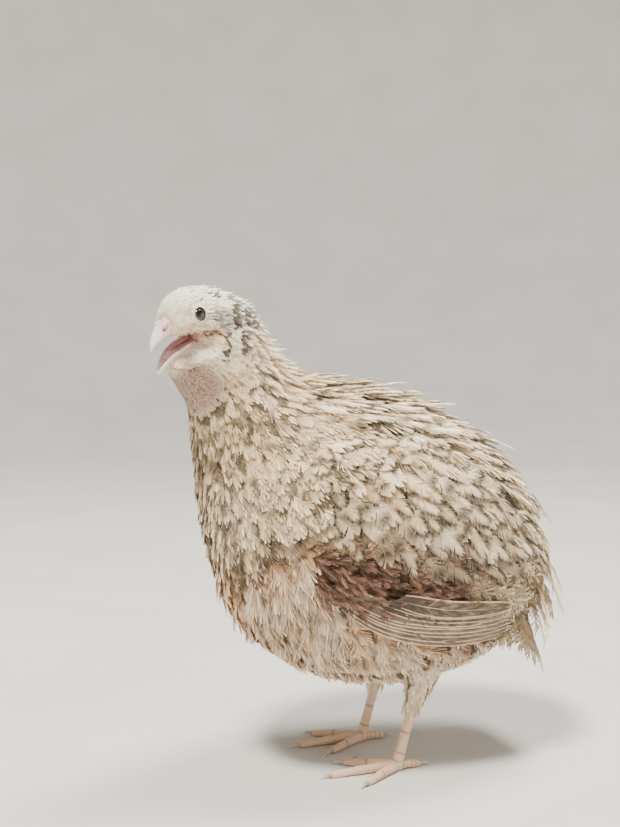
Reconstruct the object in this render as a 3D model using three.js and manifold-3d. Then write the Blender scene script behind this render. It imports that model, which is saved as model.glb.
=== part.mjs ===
// A life-size coturnix quail that stands with its plumage ruffled, its head turned and its bill open.
// Millimetres, +Z up. The bird faces -X and its left side is -Y. It stands on z = 0, and the origin
// is under the middle of its bounding box.
import * as THREE from "three";
import { mergeVertices } from "three/addons/utils/BufferGeometryUtils.js";
import Module from "manifold-3d";

const wasm = await Module();
wasm.setup();

// Driving dimensions
const GAP = 0.3; // between neighbouring pieces
const HEAD_TURN = 18; // degrees, towards the bird's left
const HEAD_ROLL = 6; // degrees, the left cheek lower
const NECK_AXIS_X = -42; // the head turns about this upright line
const ROLL_AXIS_Z = 152;
const NECK_TWIST = { from: 9.5, to: 5 }; // the ribs between which the neck takes up the turn
const SEED = 20;

// The ribs of the plumage, from the face to the tail base: where each meets the back line and the
// breast line, as [x, z], and its half width.
const RIBS = [
  { back: [-76.3, 163.4], front: [-76.3, 163.2], half: 0 },
  { back: [-77.3, 168], front: [-75.8, 157.6], half: 4.9 },
  { back: [-74.4, 172.4], front: [-75.4, 148.4], half: 8.2 },
  { back: [-67.5, 175], front: [-71.6, 143], half: 11 },
  { back: [-57, 174.4], front: [-67.8, 138], half: 12.6 },
  { back: [-46, 169], front: [-63.8, 131.8], half: 13.8 },
  { back: [-37.5, 158.5], front: [-61.4, 123.5], half: 17 },
  { back: [-27, 147.5], front: [-59.8, 111.5], half: 22.5 },
  { back: [-9, 141.5], front: [-58.4, 96.5], half: 30 },
  { back: [11.5, 137], front: [-55, 77.5], half: 36 },
  { back: [32, 128.5], front: [-47.5, 59], half: 39.5 },
  { back: [50, 116], front: [-32, 43], half: 40 },
  { back: [62, 101], front: [-8, 32], half: 38 },
  { back: [69, 85], front: [20, 31], half: 33 },
  { back: [71, 71], front: [42, 37], half: 24 },
  { back: [69, 61], front: [56, 47], half: 12 },
  { back: [65.4, 53], front: [65.2, 52.8], half: 0 },
];
const HEAD_END = 5.4; // where the head ends and the neck ends, counted in ribs
const NECK_END = 7.4;
const LAST_RIB = RIBS.length - 1;
const CUT = 0.05; // half the cut between two lengths of the body, in ribs
const HANDS = [
  { name: "left", turn: 1, y: -1 },
  { name: "right", turn: -1, y: 1 },
]; // degrees round the body run positive down the left side, which is -Y

const radians = THREE.MathUtils.degToRad;
const smooth = THREE.MathUtils.smoothstep;
const mix = THREE.MathUtils.lerp;
const point = (x, y, z) => new THREE.Vector3(x, y, z);

// A repeatable draw between -1 and 1
function draws(seed) {
  let state = seed;
  return () => {
    state = (state * 16807) % 2147483647;
    return (state / 2147483647) * 2 - 1;
  };
}

// The head's turn and roll, or a share of them
function posed(p, share = 1) {
  const roll = radians(HEAD_ROLL) * share;
  const turn = radians(HEAD_TURN) * share;
  const rise = p.z - ROLL_AXIS_Z;
  const y = p.y * Math.cos(roll) - rise * Math.sin(roll);
  const z = p.y * Math.sin(roll) + rise * Math.cos(roll) + ROLL_AXIS_Z;
  const ahead = p.x - NECK_AXIS_X;
  return point(
    NECK_AXIS_X + ahead * Math.cos(turn) - y * Math.sin(turn),
    ahead * Math.sin(turn) + y * Math.cos(turn),
    z,
  );
}

// Solids from rings and sheets
function solidOf(positions, triangles) {
  const geometry = new THREE.BufferGeometry();
  geometry.setAttribute("position", new THREE.Float32BufferAttribute(positions, 3));
  geometry.setIndex(triangles);
  return solidFrom(geometry);
}

function solidFrom(geometry) {
  const bare = new THREE.BufferGeometry();
  bare.setAttribute("position", geometry.getAttribute("position"));
  bare.setIndex(geometry.index);
  const merged = mergeVertices(bare, 1e-4);
  const vertProperties = merged.attributes.position.array;
  const triVerts = new Uint32Array(merged.index.array);
  if (signedVolume(vertProperties, triVerts) < 0) {
    for (let i = 0; i < triVerts.length; i += 3) {
      [triVerts[i + 1], triVerts[i + 2]] = [triVerts[i + 2], triVerts[i + 1]];
    }
  }
  return new wasm.Manifold(new wasm.Mesh({ numProp: 3, vertProperties, triVerts }));
}

function signedVolume(positions, triangles) {
  const corner = (i) => point().fromArray(positions, triangles[i] * 3);
  let sum = 0;
  for (let i = 0; i < triangles.length; i += 3) {
    sum += corner(i).dot(corner(i + 1).cross(corner(i + 2)));
  }
  return sum / 6;
}

// Rings of equally many points, closed at each end by a fan to the ring's middle
function stack(rings) {
  const sides = rings[0].length;
  const positions = rings.flat().flatMap((p) => p.toArray());
  const triangles = [];
  for (let i = 0; i + 1 < rings.length; i++) {
    for (let j = 0; j < sides; j++) {
      const a = i * sides + j;
      const b = i * sides + ((j + 1) % sides);
      triangles.push(a, b, b + sides, a, b + sides, a + sides);
    }
  }
  const fan = (ring, first, flip) => {
    const middle = ring.reduce((sum, p) => sum.add(p), point(0, 0, 0)).divideScalar(sides);
    const centre = positions.length / 3;
    positions.push(...middle.toArray());
    for (let j = 0; j < sides; j++) {
      const a = first + j;
      const b = first + ((j + 1) % sides);
      triangles.push(...(flip ? [centre, b, a] : [centre, a, b]));
    }
  };
  fan(rings[0], 0, true);
  fan(rings.at(-1), (rings.length - 1) * sides, false);
  return solidOf(positions, triangles);
}

// Two matched sheets, split into triangles alike, with walls round their edge
function plate(top, bottom) {
  const rows = top.length;
  const columns = top[0].length;
  const positions = [...top.flat(), ...bottom.flat()].flatMap((p) => p.toArray());
  const upper = (i, j) => i * columns + j;
  const lower = (i, j) => rows * columns + upper(i, j);
  const triangles = [];
  for (let i = 0; i + 1 < rows; i++) {
    for (let j = 0; j + 1 < columns; j++) {
      triangles.push(upper(i, j), upper(i, j + 1), upper(i + 1, j + 1));
      triangles.push(upper(i, j), upper(i + 1, j + 1), upper(i + 1, j));
      triangles.push(lower(i, j), lower(i + 1, j + 1), lower(i, j + 1));
      triangles.push(lower(i, j), lower(i + 1, j), lower(i + 1, j + 1));
    }
  }
  const wall = (i, j, k, l) => {
    triangles.push(upper(i, j), lower(i, j), lower(k, l));
    triangles.push(upper(i, j), lower(k, l), upper(k, l));
  };
  for (let i = 0; i + 1 < rows; i++) {
    wall(i, columns - 1, i + 1, columns - 1);
    wall(i + 1, 0, i, 0);
  }
  for (let j = 0; j + 1 < columns; j++) {
    wall(0, j, 0, j + 1);
    wall(rows - 1, j + 1, rows - 1, j);
  }
  return solidOf(positions, triangles);
}

// A plate cut straight through the body from side to side, for an outline of [x, z] points
function sideCut(outline, halfDepth) {
  const shape = new THREE.Shape(outline.map(([x, z]) => new THREE.Vector2(x, z)));
  const geometry = new THREE.ExtrudeGeometry(shape, { depth: 2 * halfDepth, bevelEnabled: false });
  geometry.rotateX(Math.PI / 2).translate(0, halfDepth, 0);
  return solidFrom(geometry);
}

function poseSolid(solid) {
  const mesh = solid.getMesh();
  const moved = [];
  for (let i = 0; i < mesh.numVert; i++) {
    moved.push(...posed(point().fromArray(mesh.vertProperties, i * mesh.numProp)).toArray());
  }
  return solidOf(moved, [...mesh.triVerts]);
}

const fuse = (solids) => solids.reduce((whole, next) => whole.add(next));
const largest = (solid) => {
  const bodies = solid.decompose();
  return bodies.reduce((best, next) => (next.volume() > best.volume() ? next : best));
};

// The surface of the plumage
const line = (points) => new THREE.CatmullRomCurve3(points, false, "catmullrom", 0.5);
const backLine = line(RIBS.map((rib) => point(rib.back[0], rib.half, rib.back[1])));
const frontLine = line(RIBS.map((rib) => point(rib.front[0], 0, rib.front[1])));

// angle is in degrees from the back line, positive down the left side
function straightSurface(rib, angle, grow = 0) {
  const back = backLine.getPoint(rib / LAST_RIB);
  const front = frontLine.getPoint(rib / LAST_RIB);
  const half = Math.max(back.y, 0);
  back.y = 0;
  const middle = back.clone().add(front).multiplyScalar(0.5);
  const arm = back.clone().sub(middle);
  arm.setLength(arm.length() + grow);
  const turn = radians(angle);
  return middle.addScaledVector(arm, Math.cos(turn)).add(point(0, -(half + grow) * Math.sin(turn), 0));
}

const neckTwist = (rib) => 1 - smooth(rib, NECK_TWIST.to, NECK_TWIST.from);
const surface = (rib, angle, grow = 0) => posed(straightSurface(rib, angle, grow), neckTwist(rib));

function outward(rib, angle) {
  const along = surface(rib + 0.05, angle).sub(surface(rib - 0.05, angle));
  const around = surface(rib, angle + 1).sub(surface(rib, angle - 1));
  return around.cross(along).normalize();
}

// The rib and the angle where the side of the bird passes a place [x, z], seen from its left
function placeAt(x, z) {
  let low = 0.5;
  let high = LAST_RIB - 0.1;
  for (let i = 0; i < 30; i++) {
    const rib = (low + high) / 2;
    const back = backLine.getPoint(rib / LAST_RIB);
    const front = frontLine.getPoint(rib / LAST_RIB);
    const behind = (front.x - back.x) * (z - back.z) - (front.z - back.z) * (x - back.x);
    if (behind > 0) {
      low = rib;
    } else {
      high = rib;
    }
  }
  const rib = (low + high) / 2;
  const back = backLine.getPoint(rib / LAST_RIB);
  const front = frontLine.getPoint(rib / LAST_RIB);
  const length = Math.hypot(front.x - back.x, front.z - back.z);
  const down = Math.hypot(x - back.x, z - back.z);
  return { rib, angle: THREE.MathUtils.radToDeg(Math.acos(Math.max(1 - (2 * down) / length, -1))) };
}

function bodyLength(from, to, rings, sides, grow = 0) {
  const stations = Array.from({ length: rings }, (_, i) => mix(from, to, i / (rings - 1)));
  return stack(
    stations.map((rib) => Array.from({ length: sides }, (_, j) => surface(rib, (360 * j) / sides, grow))),
  );
}

// Vanes
const VANE = { widest: 0.4, tip: 0.14, thinned: 0.6, ridge: 1.3, edge: 0.8 };
const NUDGE = 0.02; // the share of a path over which its heading is read

// path(share) gives the middle of the vane and the way its face looks, from its root to its tip.
function vane({ path, width, thick = 0.8, steps = 3, blunt = 0.5, cup = 0.12, start = 0.5 }) {
  const top = [];
  const bottom = [];
  for (let i = 0; i <= steps; i++) {
    const share = i / steps;
    const { at, face } = path(share);
    const before = path(Math.max(share - NUDGE, 0)).at;
    const ahead = path(Math.min(share + NUDGE, 1)).at.sub(before).normalize();
    const side = ahead.cross(face).normalize();
    const swell = mix(start, 1, smooth(share, 0, VANE.widest));
    const taper = Math.sqrt(Math.max(1 - Math.pow(share, mix(1.4, 5, blunt)), 0));
    const reach = (width / 2) * Math.max(swell * taper, VANE.tip);
    const half = (thick / 2) * mix(1, VANE.thinned, share);
    const edge = at.clone().addScaledVector(face, -cup * reach);
    const row = [edge.clone().addScaledVector(side, -reach), at, edge.clone().addScaledVector(side, reach)];
    top.push(row.map((p, j) => p.clone().addScaledVector(face, half * (j === 1 ? VANE.ridge : VANE.edge))));
    bottom.push(row.map((p) => p.clone().addScaledVector(face, -half * VANE.edge)));
  }
  return plate(top, bottom);
}

// A path that starts under the plumage and rises off it, between two places given as [rib, angle]
function alongBody(from, to, sunk, lift, power = 1.2) {
  return (share) => {
    const rib = mix(from[0], to[0], share);
    const angle = mix(from[1], to[1], share);
    const face = outward(rib, angle);
    return { at: surface(rib, angle).addScaledVector(face, mix(sunk, lift, Math.pow(share, power))), face };
  };
}

// A path over one side of the bird through [x, z] places, so high above the plumage
function alongSide(side, places, height) {
  const route = line(places.map(([x, z]) => point(x, 0, z)));
  return (share) => {
    const place = route.getPoint(share);
    const { rib, angle } = placeAt(place.x, place.z);
    const face = outward(rib, side * angle);
    return { at: surface(rib, side * angle, height), face };
  };
}

const HANGING = { root: -2.5, steps: 12, cant: 0.6 };

// A path that leaves a place on the plumage and bends by so many degrees towards the floor
function offBody(from, length, pitch, bend, spread = 0) {
  const root = surface(from[0], from[1]).addScaledVector(outward(from[0], from[1]), HANGING.root);
  const aside = radians(spread);
  return (share) => {
    const at = root.clone();
    const step = (length * share) / HANGING.steps;
    let angle = radians(pitch);
    for (let i = 0; i < HANGING.steps; i++) {
      angle = radians(pitch - bend * share * ((i + 0.5) / HANGING.steps));
      at.add(point(Math.cos(angle), 0, Math.sin(angle)).multiplyScalar(step * Math.cos(aside)));
      at.y += step * Math.sin(aside);
    }
    const up = point(-Math.sin(angle), HANGING.cant * Math.sin(aside), Math.cos(angle));
    return { at, face: up.normalize() };
  };
}

// Bill
// Each station of the upper bill gives the top and the rim as [x, z], and the half width.
const UPPER_BILL = [
  { top: [-72.5, 166.4], rim: [-71.5, 160.6], half: 4.8 },
  { top: [-76, 165.3], rim: [-74.8, 159.4], half: 4.6 },
  { top: [-79, 162.6], rim: [-77.6, 158.1], half: 3.6 },
  { top: [-80.9, 159.2], rim: [-79.6, 156.6], half: 2.4 },
  { top: [-81.8, 155.7], rim: [-80.9, 154.8], half: 1.3 },
  { top: [-81.8, 152.9], rim: [-81.5, 153], half: 0.35 },
];
const LOWER_BILL = [
  { rim: [-67.4, 157.3], depth: 2.3, half: 5.2 },
  { rim: [-70.6, 155.7], depth: 2.8, half: 4.9 },
  { rim: [-73.6, 153.4], depth: 2.8, half: 4.2 },
  { rim: [-76.2, 150.5], depth: 2.4, half: 3 },
  { rim: [-77.9, 147.8], depth: 1.6, half: 1.7 },
  { rim: [-78.6, 145.2], depth: 0.6, half: 0.5 },
];
const MOUTH = [
  [-67.2, 159],
  [-70, 160.1],
  [-76, 158.7],
  [-95, 156],
  [-95, 136],
  [-78.4, 146],
  [-76.2, 150.5],
  [-73.6, 153.4],
  [-67.2, 157.4],
];
const BILL_SIDES = 12;
const PALATE = { hollow: -0.18, full: 0.1 }; // how far the rim side bulges, in shares of the bill's height

function upperBill(grow = 0) {
  const rings = UPPER_BILL.map(({ top, rim, half }, i) => {
    const base = point(rim[0] + (i ? 0 : grow), 0, rim[1] - grow);
    const rise = point(top[0] + (i ? 0 : grow), 0, top[1] + grow).sub(base);
    return Array.from({ length: BILL_SIDES }, (_, j) => {
      const turn = (2 * Math.PI * j) / BILL_SIDES;
      const palate = grow ? PALATE.full : PALATE.hollow;
      const height = Math.sin(turn) > 0 ? Math.sin(turn) : palate * Math.sin(turn);
      return base.clone().addScaledVector(rise, height).add(point(0, (half + grow) * Math.cos(turn), 0));
    });
  });
  return stack(rings);
}

// Each nostril is a slit under a domed flap, both ovals that slope with the bill.
const FLAP = { x: -77.7, y: 2.6, z: 162.3, reach: [2, 0.9, 1] };
const SLIT = { x: -78, y: 3.2, z: 161.1, reach: [1.3, 0.8, 0.35] };
const NOSTRIL_SLOPE = -38;

function nostrilOvals({ x, y, z, reach }, grow = 0) {
  return HANDS.map((hand) => {
    const geometry = new THREE.SphereGeometry(1, 8, 5);
    geometry.scale(...reach.map((r) => r + grow)).rotateY(radians(NOSTRIL_SLOPE));
    geometry.translate(x, hand.y * y, z);
    return solidFrom(geometry);
  });
}

function nostrilBill() {
  return largest(fuse([upperBill(), ...nostrilOvals(FLAP)]).subtract(fuse(nostrilOvals(SLIT))));
}

const TROUGH = { wall: 0.9, open: 0.6, least: 0.12, crown: 0.05 };

// A wall thickness gives the hollow of the trough instead of its outside.
function lowerBill(grow = 0, wall = 0) {
  const open = wall ? TROUGH.open : 0;
  const rings = LOWER_BILL.map(({ rim, depth, half }, i) => {
    const before = LOWER_BILL[Math.max(i - 1, 0)].rim;
    const after = LOWER_BILL[Math.min(i + 1, LOWER_BILL.length - 1)].rim;
    const ahead = point(after[0] - before[0], 0, after[1] - before[1]).normalize();
    const down = point(-ahead.z, 0, ahead.x).multiplyScalar(ahead.x < 0 ? 1 : -1);
    const base = point(rim[0], 0, rim[1]).addScaledVector(down, -grow - open);
    const reach = Math.max(half + grow - wall, TROUGH.least);
    const drop = Math.max(depth + 2 * grow - wall, TROUGH.least) + open;
    return Array.from({ length: BILL_SIDES }, (_, j) => {
      const turn = (2 * Math.PI * j) / BILL_SIDES;
      const deep = Math.sin(turn) > 0 ? Math.sin(turn) : TROUGH.crown * Math.sin(turn);
      return base.clone().addScaledVector(down, drop * deep).add(point(0, reach * Math.cos(turn), 0));
    });
  });
  return stack(rings);
}

const TONGUE = {
  root: [-67.9, 157.9],
  tip: [-75.9, 152.6],
  arch: 0.9,
  half: [2.4, 0.5],
  ridge: 0.15,
  thick: 0.9,
};

function tongue() {
  const root = point(TONGUE.root[0], 0, TONGUE.root[1]);
  const tip = point(TONGUE.tip[0], 0, TONGUE.tip[1]);
  const steps = 5;
  const top = [];
  const bottom = [];
  for (let i = 0; i <= steps; i++) {
    const share = i / steps;
    const at = root.clone().lerp(tip, share).add(point(0, 0, TONGUE.arch * Math.sin(Math.PI * share)));
    const reach = mix(TONGUE.half[0], TONGUE.half[1], Math.pow(share, 1.4));
    const row = [-1, 0, 1].map((side) => at.clone().add(point(0, side * reach, side ? 0 : TONGUE.ridge)));
    top.push(row.map((p) => p.clone().add(point(0, 0, TONGUE.thick / 2))));
    bottom.push(row.map((p) => p.clone().add(point(0, 0, -TONGUE.thick / 2))));
  }
  return plate(top, bottom);
}

// Eyes
const EYE = { x: -68.9, z: 166.6, radius: 3.6, proud: 0.55 };
const LID = { radius: 2.95, thick: 0.7 };

function ball(centre, radius, around = 12, down = 7) {
  const geometry = new THREE.SphereGeometry(radius, around, down);
  geometry.translate(centre.x, centre.y, centre.z);
  return solidFrom(geometry);
}

function eyeSeat(side) {
  const { rib, angle } = placeAt(EYE.x, EYE.z);
  return { at: surface(rib, side * angle), face: outward(rib, side * angle) };
}

function eyeCentre(side) {
  const { at, face } = eyeSeat(side);
  return at.clone().addScaledVector(face, EYE.proud - EYE.radius);
}

function lid(side) {
  const { at, face } = eyeSeat(side);
  const geometry = new THREE.TorusGeometry(LID.radius, LID.thick, 5, 14);
  geometry.applyQuaternion(new THREE.Quaternion().setFromUnitVectors(point(0, 0, 1), face));
  geometry.translate(at.x, at.y, at.z);
  return solidFrom(geometry);
}

// Head and neck
// Rows of nape feathers: the ribs they grow from, their length in ribs and how far they rise
const NAPE = {
  head: [4.15, 4.65],
  neck: [5.75, 6.3],
  fewest: 4,
  spread: 62,
  length: 0.86,
  sunk: -1.2,
  lift: 3.6,
  width: 3.8,
  thick: 0.9,
};
const SEAT = 1.4 * GAP; // the clearance of the hollow that holds the bill
const SHOULDER_GAP = GAP + 0.4;
const MOUTH_HALF = 16; // the mouth is cut this far to each side, right through the cheeks

function napeVanes(rows, draw) {
  const vanes = [];
  rows.forEach((rib, row) => {
    const count = NAPE.fewest + row;
    for (let i = 0; i < count; i++) {
      const angle = (i / (count - 1) - 0.5) * NAPE.spread + 4 * draw();
      const end = [rib + NAPE.length + 0.1 * draw(), angle * 1.1];
      const path = alongBody([rib, angle], end, NAPE.sunk, NAPE.lift + draw(), 0.9);
      vanes.push(vane({ path, width: NAPE.width, thick: NAPE.thick, blunt: 0.15 }));
    }
  });
  return vanes;
}

function headSolid() {
  const skull = bodyLength(0.02, HEAD_END - CUT, 13, 22);
  const lids = HANDS.map((hand) => lid(hand.turn));
  const bill = poseSolid(fuse([lowerBill(SEAT), upperBill(SEAT), ...nostrilOvals(FLAP, SEAT)]));
  const sockets = HANDS.map((hand) => ball(eyeCentre(hand.turn), EYE.radius + GAP));
  const hollows = fuse([poseSolid(sideCut(MOUTH, MOUTH_HALF)), bill, ...sockets]);
  return largest(fuse([skull, ...lids, ...napeVanes(NAPE.head, draws(SEED))]).subtract(hollows));
}

function lowerBillSolid() {
  return largest(poseSolid(lowerBill().subtract(lowerBill(0, TROUGH.wall))));
}

function neckSolid() {
  const neck = bodyLength(HEAD_END + CUT, NECK_END - CUT, 7, 24);
  const shoulders = bodyLength(NECK_END, 12, 12, 24, SHOULDER_GAP);
  return largest(fuse([neck, ...napeVanes(NAPE.neck, draws(SEED))]).subtract(shoulders));
}

// Torso
// Tiers of loose back feathers: the rib each row grows from, how many, and the angle that they span
const BACK_TIERS = [
  { rib: 7.75, count: 4, span: 64, length: 1.15 },
  { rib: 8.45, count: 5, span: 74, length: 1.15 },
  { rib: 9.15, count: 6, span: 76, length: 1.2 },
  { rib: 9.95, count: 6, span: 76, length: 1.25 },
  { rib: 10.8, count: 6, span: 76, length: 1.45 },
];
const RUMP_TIERS = [
  { rib: 11.7, count: 6, span: 80, length: 33, pitch: -26, bend: 52 },
  { rib: 12.5, count: 6, span: 102, length: 32, pitch: -38, bend: 48 },
  { rib: 13.3, count: 6, span: 120, length: 28, pitch: -52, bend: 34 },
];
const LOOSE = { sunk: -2, lift: 4, step: 0.8, width: 9.4, rump: 10 };
const TORSO_END = 14.75;
const TORSO = { rings: 17, sides: 24 };

function backVanes() {
  const draw = draws(SEED + 1);
  const vanes = [];
  for (const tier of BACK_TIERS) {
    for (let i = 0; i < tier.count; i++) {
      const angle = (i / (tier.count - 1) - 0.5) * tier.span + 3 * draw();
      const end = [tier.rib + tier.length + 0.12 * draw(), angle * 0.94 + 2 * draw()];
      const path = alongBody([tier.rib, angle], end, LOOSE.sunk, LOOSE.lift + LOOSE.step * (i % 2) + draw());
      vanes.push(vane({ path, width: LOOSE.width + 1.2 * draw(), blunt: 0.25 }));
    }
  }
  return vanes;
}

function rumpVanes() {
  const draw = draws(SEED + 2);
  const vanes = [];
  for (const tier of RUMP_TIERS) {
    for (let i = 0; i < tier.count; i++) {
      const angle = (i / (tier.count - 1) - 0.5) * tier.span;
      const spread = -angle * 0.2 + 4 * draw();
      const length = tier.length + 2 * draw();
      const path = offBody([tier.rib, angle], length, tier.pitch + 6 * draw(), tier.bend, spread);
      vanes.push(vane({ path, width: LOOSE.rump, blunt: 0.2 }));
    }
  }
  return vanes;
}

function torsoSolid() {
  const body = bodyLength(NECK_END + CUT, TORSO_END - CUT, TORSO.rings, TORSO.sides);
  return largest(fuse([body, ...backVanes(), ...rumpVanes()]));
}

// The torso without its feathers, a gap larger, to fit the wings and thighs to, and the same for its
// rear end, where the tail joins it
const torsoClear = bodyLength(NECK_END + CUT, TORSO_END - CUT, TORSO.rings, TORSO.sides, GAP);
const torsoEndClear = bodyLength(10, TORSO_END - 0.4 * CUT, 10, TORSO.sides, GAP);

// Wings
// The edges of the folded wing: at each rib, the angles of its upper and its lower edge
const WING_EDGES = [
  { rib: 8.25, upper: 74, lower: 88 },
  { rib: 8.8, upper: 58, lower: 108 },
  { rib: 9.6, upper: 51, lower: 120 },
  { rib: 10.4, upper: 49, lower: 117 },
  { rib: 11.2, upper: 49, lower: 104 },
  { rib: 11.9, upper: 51, lower: 86 },
  { rib: 12.35, upper: 58, lower: 68 },
];
const WING_THICK = { edge: 1, middle: 3.4, sunk: -1 };
const COVERT_TIERS = [
  { rib: 8.45, count: 3, length: 1.1, width: 12 },
  { rib: 9.2, count: 4, length: 1.15, width: 13 },
  { rib: 10, count: 5, length: 1.2, width: 12.5 },
  { rib: 10.85, count: 4, length: 1.5, width: 12 },
];
const COVERT_LIFT = { low: 1.4, high: 5, power: 0.8, step: 0.45 };
const LAST_COVERT_RIB = 11.5; // behind this rib the coverts run straight back
// Where the lowest and the highest of a row of flight feathers start, bend and end, as [x, z]
const PRIMARIES = {
  count: 4,
  places: [
    [[-25, 74], [-21, 78]],
    [[-6, 59], [-2, 69]],
    [[20, 50], [20, 63]],
    [[54, 49.5], [43, 60]],
  ],
  width: 7.6,
  height: 0.9,
};
const SECONDARIES = {
  count: 4,
  places: [
    [[-14, 74], [-2, 79]],
    [[8, 66], [20, 72]],
    [[34, 59], [47, 65]],
  ],
  width: 9,
  height: 2.6,
};
const FLIGHT_STEP = 0.45; // how much higher each flight feather lies than the one below it

function wingEdgesAt(rib) {
  const next = Math.max(WING_EDGES.findIndex((row) => row.rib > rib), 1);
  const [a, b] = [WING_EDGES[next - 1], WING_EDGES[next]];
  const share = (rib - a.rib) / (b.rib - a.rib);
  return { upper: mix(a.upper, b.upper, share), lower: mix(a.lower, b.lower, share) };
}

// across runs from 0 at the upper edge of the wing to 1 at its lower edge
function wingAngle(rib, across) {
  const { upper, lower } = wingEdgesAt(Math.min(rib, LAST_COVERT_RIB));
  return mix(upper, lower, across);
}

function wingShield(side) {
  const columns = 5;
  const sheet = (height) =>
    WING_EDGES.map(({ rib, upper, lower }) =>
      Array.from({ length: columns }, (_, j) => {
        const across = j / (columns - 1);
        return surface(rib, side * mix(upper, lower, across), height(across));
      }),
    );
  const rise = (across) => mix(WING_THICK.edge, WING_THICK.middle, Math.sin(Math.PI * across));
  return plate(sheet(rise), sheet(() => WING_THICK.sunk));
}

function wingSolid(side) {
  const draw = draws(SEED + 10 + side);
  const vanes = [];
  for (const tier of COVERT_TIERS) {
    for (let i = 0; i < tier.count; i++) {
      const across = mix(0.08, 0.88, i / (tier.count - 1)) + 0.03 * draw();
      const end = tier.rib + tier.length + 0.1 * draw();
      const from = [tier.rib, side * wingAngle(tier.rib, across)];
      const to = [end, side * (wingAngle(end, across) + 2 * draw())];
      const { low, high, power, step } = COVERT_LIFT;
      const path = alongBody(from, to, low, high + (i % 2) * step + 0.15 * draw(), power);
      vanes.push(vane({ path, width: tier.width, blunt: 0.75 }));
    }
  }
  vanes.push(...flightRow(side, PRIMARIES), ...flightRow(side, SECONDARIES));
  return largest(fuse([wingShield(side), ...vanes]).subtract(torsoClear));
}

function flightRow(side, row) {
  return Array.from({ length: row.count }, (_, i) => {
    const share = i / (row.count - 1);
    const places = row.places.map(([a, b]) => [mix(a[0], b[0], share), mix(a[1], b[1], share)]);
    const height = row.height + i * FLIGHT_STEP;
    const path = alongSide(side, places, height);
    return vane({ path, width: row.width, thick: 0.75, blunt: 0.65, steps: 4, start: 0.55, cup: 0 });
  });
}

// Tail
const TAIL = { count: 7, spread: 52, length: 27, pitch: -70, bend: 18, width: 8 };

function tailSolid() {
  const base = bodyLength(TORSO_END + CUT, LAST_RIB - 0.02, 5, 18);
  const vanes = Array.from({ length: TAIL.count }, (_, i) => {
    const share = i / (TAIL.count - 1) - 0.5;
    const path = offBody([15.2, share * 150], TAIL.length, TAIL.pitch, TAIL.bend, -share * TAIL.spread);
    return vane({ path, width: TAIL.width, blunt: 0.6 });
  });
  return largest(fuse([base, ...vanes]).subtract(torsoEndClear));
}

// Legs
const LEG = { x: 10, y: 17, ankle: 24, sole: 3.4, rear: 6, shin: 1.9, puff: 22, thigh: 7.5 };
const THIGH_TAPER = [1, 1, 0.96, 0.84, 0.66, 0.5];
const SHANK_TAPER = [1.15, 1, 0.9, 0.95, 1.05];
const KNOB = { z: 1.5, radius: 2.6 }; // where the toes meet under the shank
const TOES = [
  { name: "inner", turn: 32, length: 20, joints: 2 },
  { name: "middle", turn: 0, length: 26, joints: 3 },
  { name: "outer", turn: -34, length: 20, joints: 3 },
  { name: "hind", turn: 178, length: 8.5, joints: 1 },
];
const TOE = { root: 1.9, tip: 1.25, sides: 6, swollen: 1.06, waisted: 0.9 };
const CLAW = { length: 4.2, bend: 0.55, arch: 0.25, gap: GAP + 0.1, taper: [1, 0.85, 0.6, 0.18] };
const ground = solidFrom(new THREE.BoxGeometry(300, 200, 20).translate(0, 0, -10));

function tube(points, radii, sides) {
  const route = line(points);
  const rings = radii.map((radius, i) => {
    const share = i / (radii.length - 1);
    const at = route.getPoint(share);
    const ahead = route.getTangent(share);
    const across = point(0, 1, 0).cross(ahead).lengthSq() > 0.3 ? point(0, 1, 0) : point(1, 0, 0);
    const up = ahead.clone().cross(across).normalize();
    const side = up.clone().cross(ahead).normalize();
    return Array.from({ length: sides }, (_, j) => {
      const turn = (2 * Math.PI * j) / sides;
      return at
        .clone()
        .addScaledVector(side, radius * Math.cos(turn))
        .addScaledVector(up, radius * Math.sin(turn));
    });
  });
  return stack(rings);
}

function shankEnds(side) {
  return {
    sole: point(LEG.x, side * LEG.y, LEG.sole),
    hock: point(LEG.x + LEG.rear, side * LEG.y, LEG.ankle),
  };
}

function thighSolid(side) {
  const { sole, hock } = shankEnds(side);
  const hip = hock.clone().add(hock.clone().sub(sole).setLength(LEG.puff));
  const puff = tube([hip, hock], THIGH_TAPER.map((share) => share * LEG.thigh), 14);
  return largest(puff.subtract(torsoClear));
}

function shankSolid(side) {
  const { sole, hock } = shankEnds(side);
  const top = hock.clone().add(sole.clone().sub(hock).setLength(GAP));
  return tube([top, sole], SHANK_TAPER.map((share) => share * LEG.shin), 10);
}

function toeRoute(side, toe) {
  const turn = radians(toe.turn) * side;
  const ahead = point(-Math.cos(turn), -Math.sin(turn), 0);
  const hub = point(LEG.x, side * LEG.y, TOE.root * 0.9);
  const tip = hub.clone().addScaledVector(ahead, toe.length);
  tip.z = TOE.tip * 0.85;
  return { ahead, hub, tip };
}

function footSolid(side) {
  const toes = TOES.map((toe) => {
    const { hub, tip } = toeRoute(side, toe);
    const steps = toe.joints + 2;
    const radii = Array.from({ length: steps + 1 }, (_, i) => {
      return (i % 2 ? TOE.waisted : TOE.swollen) * mix(TOE.root, TOE.tip, i / steps);
    });
    return tube([hub, tip], radii, TOE.sides);
  });
  const knob = ball(point(LEG.x, side * LEG.y, KNOB.z), KNOB.radius, 10, 6);
  return largest(fuse([knob, ...toes]).subtract(fuse([ground, shankClear(side)])));
}

function shankClear(side) {
  const { sole, hock } = shankEnds(side);
  const below = sole.clone().add(sole.clone().sub(hock).setLength(GAP));
  const radius = SHANK_TAPER[0] * LEG.shin + GAP;
  return tube([hock, below], [radius, radius], 10);
}

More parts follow.
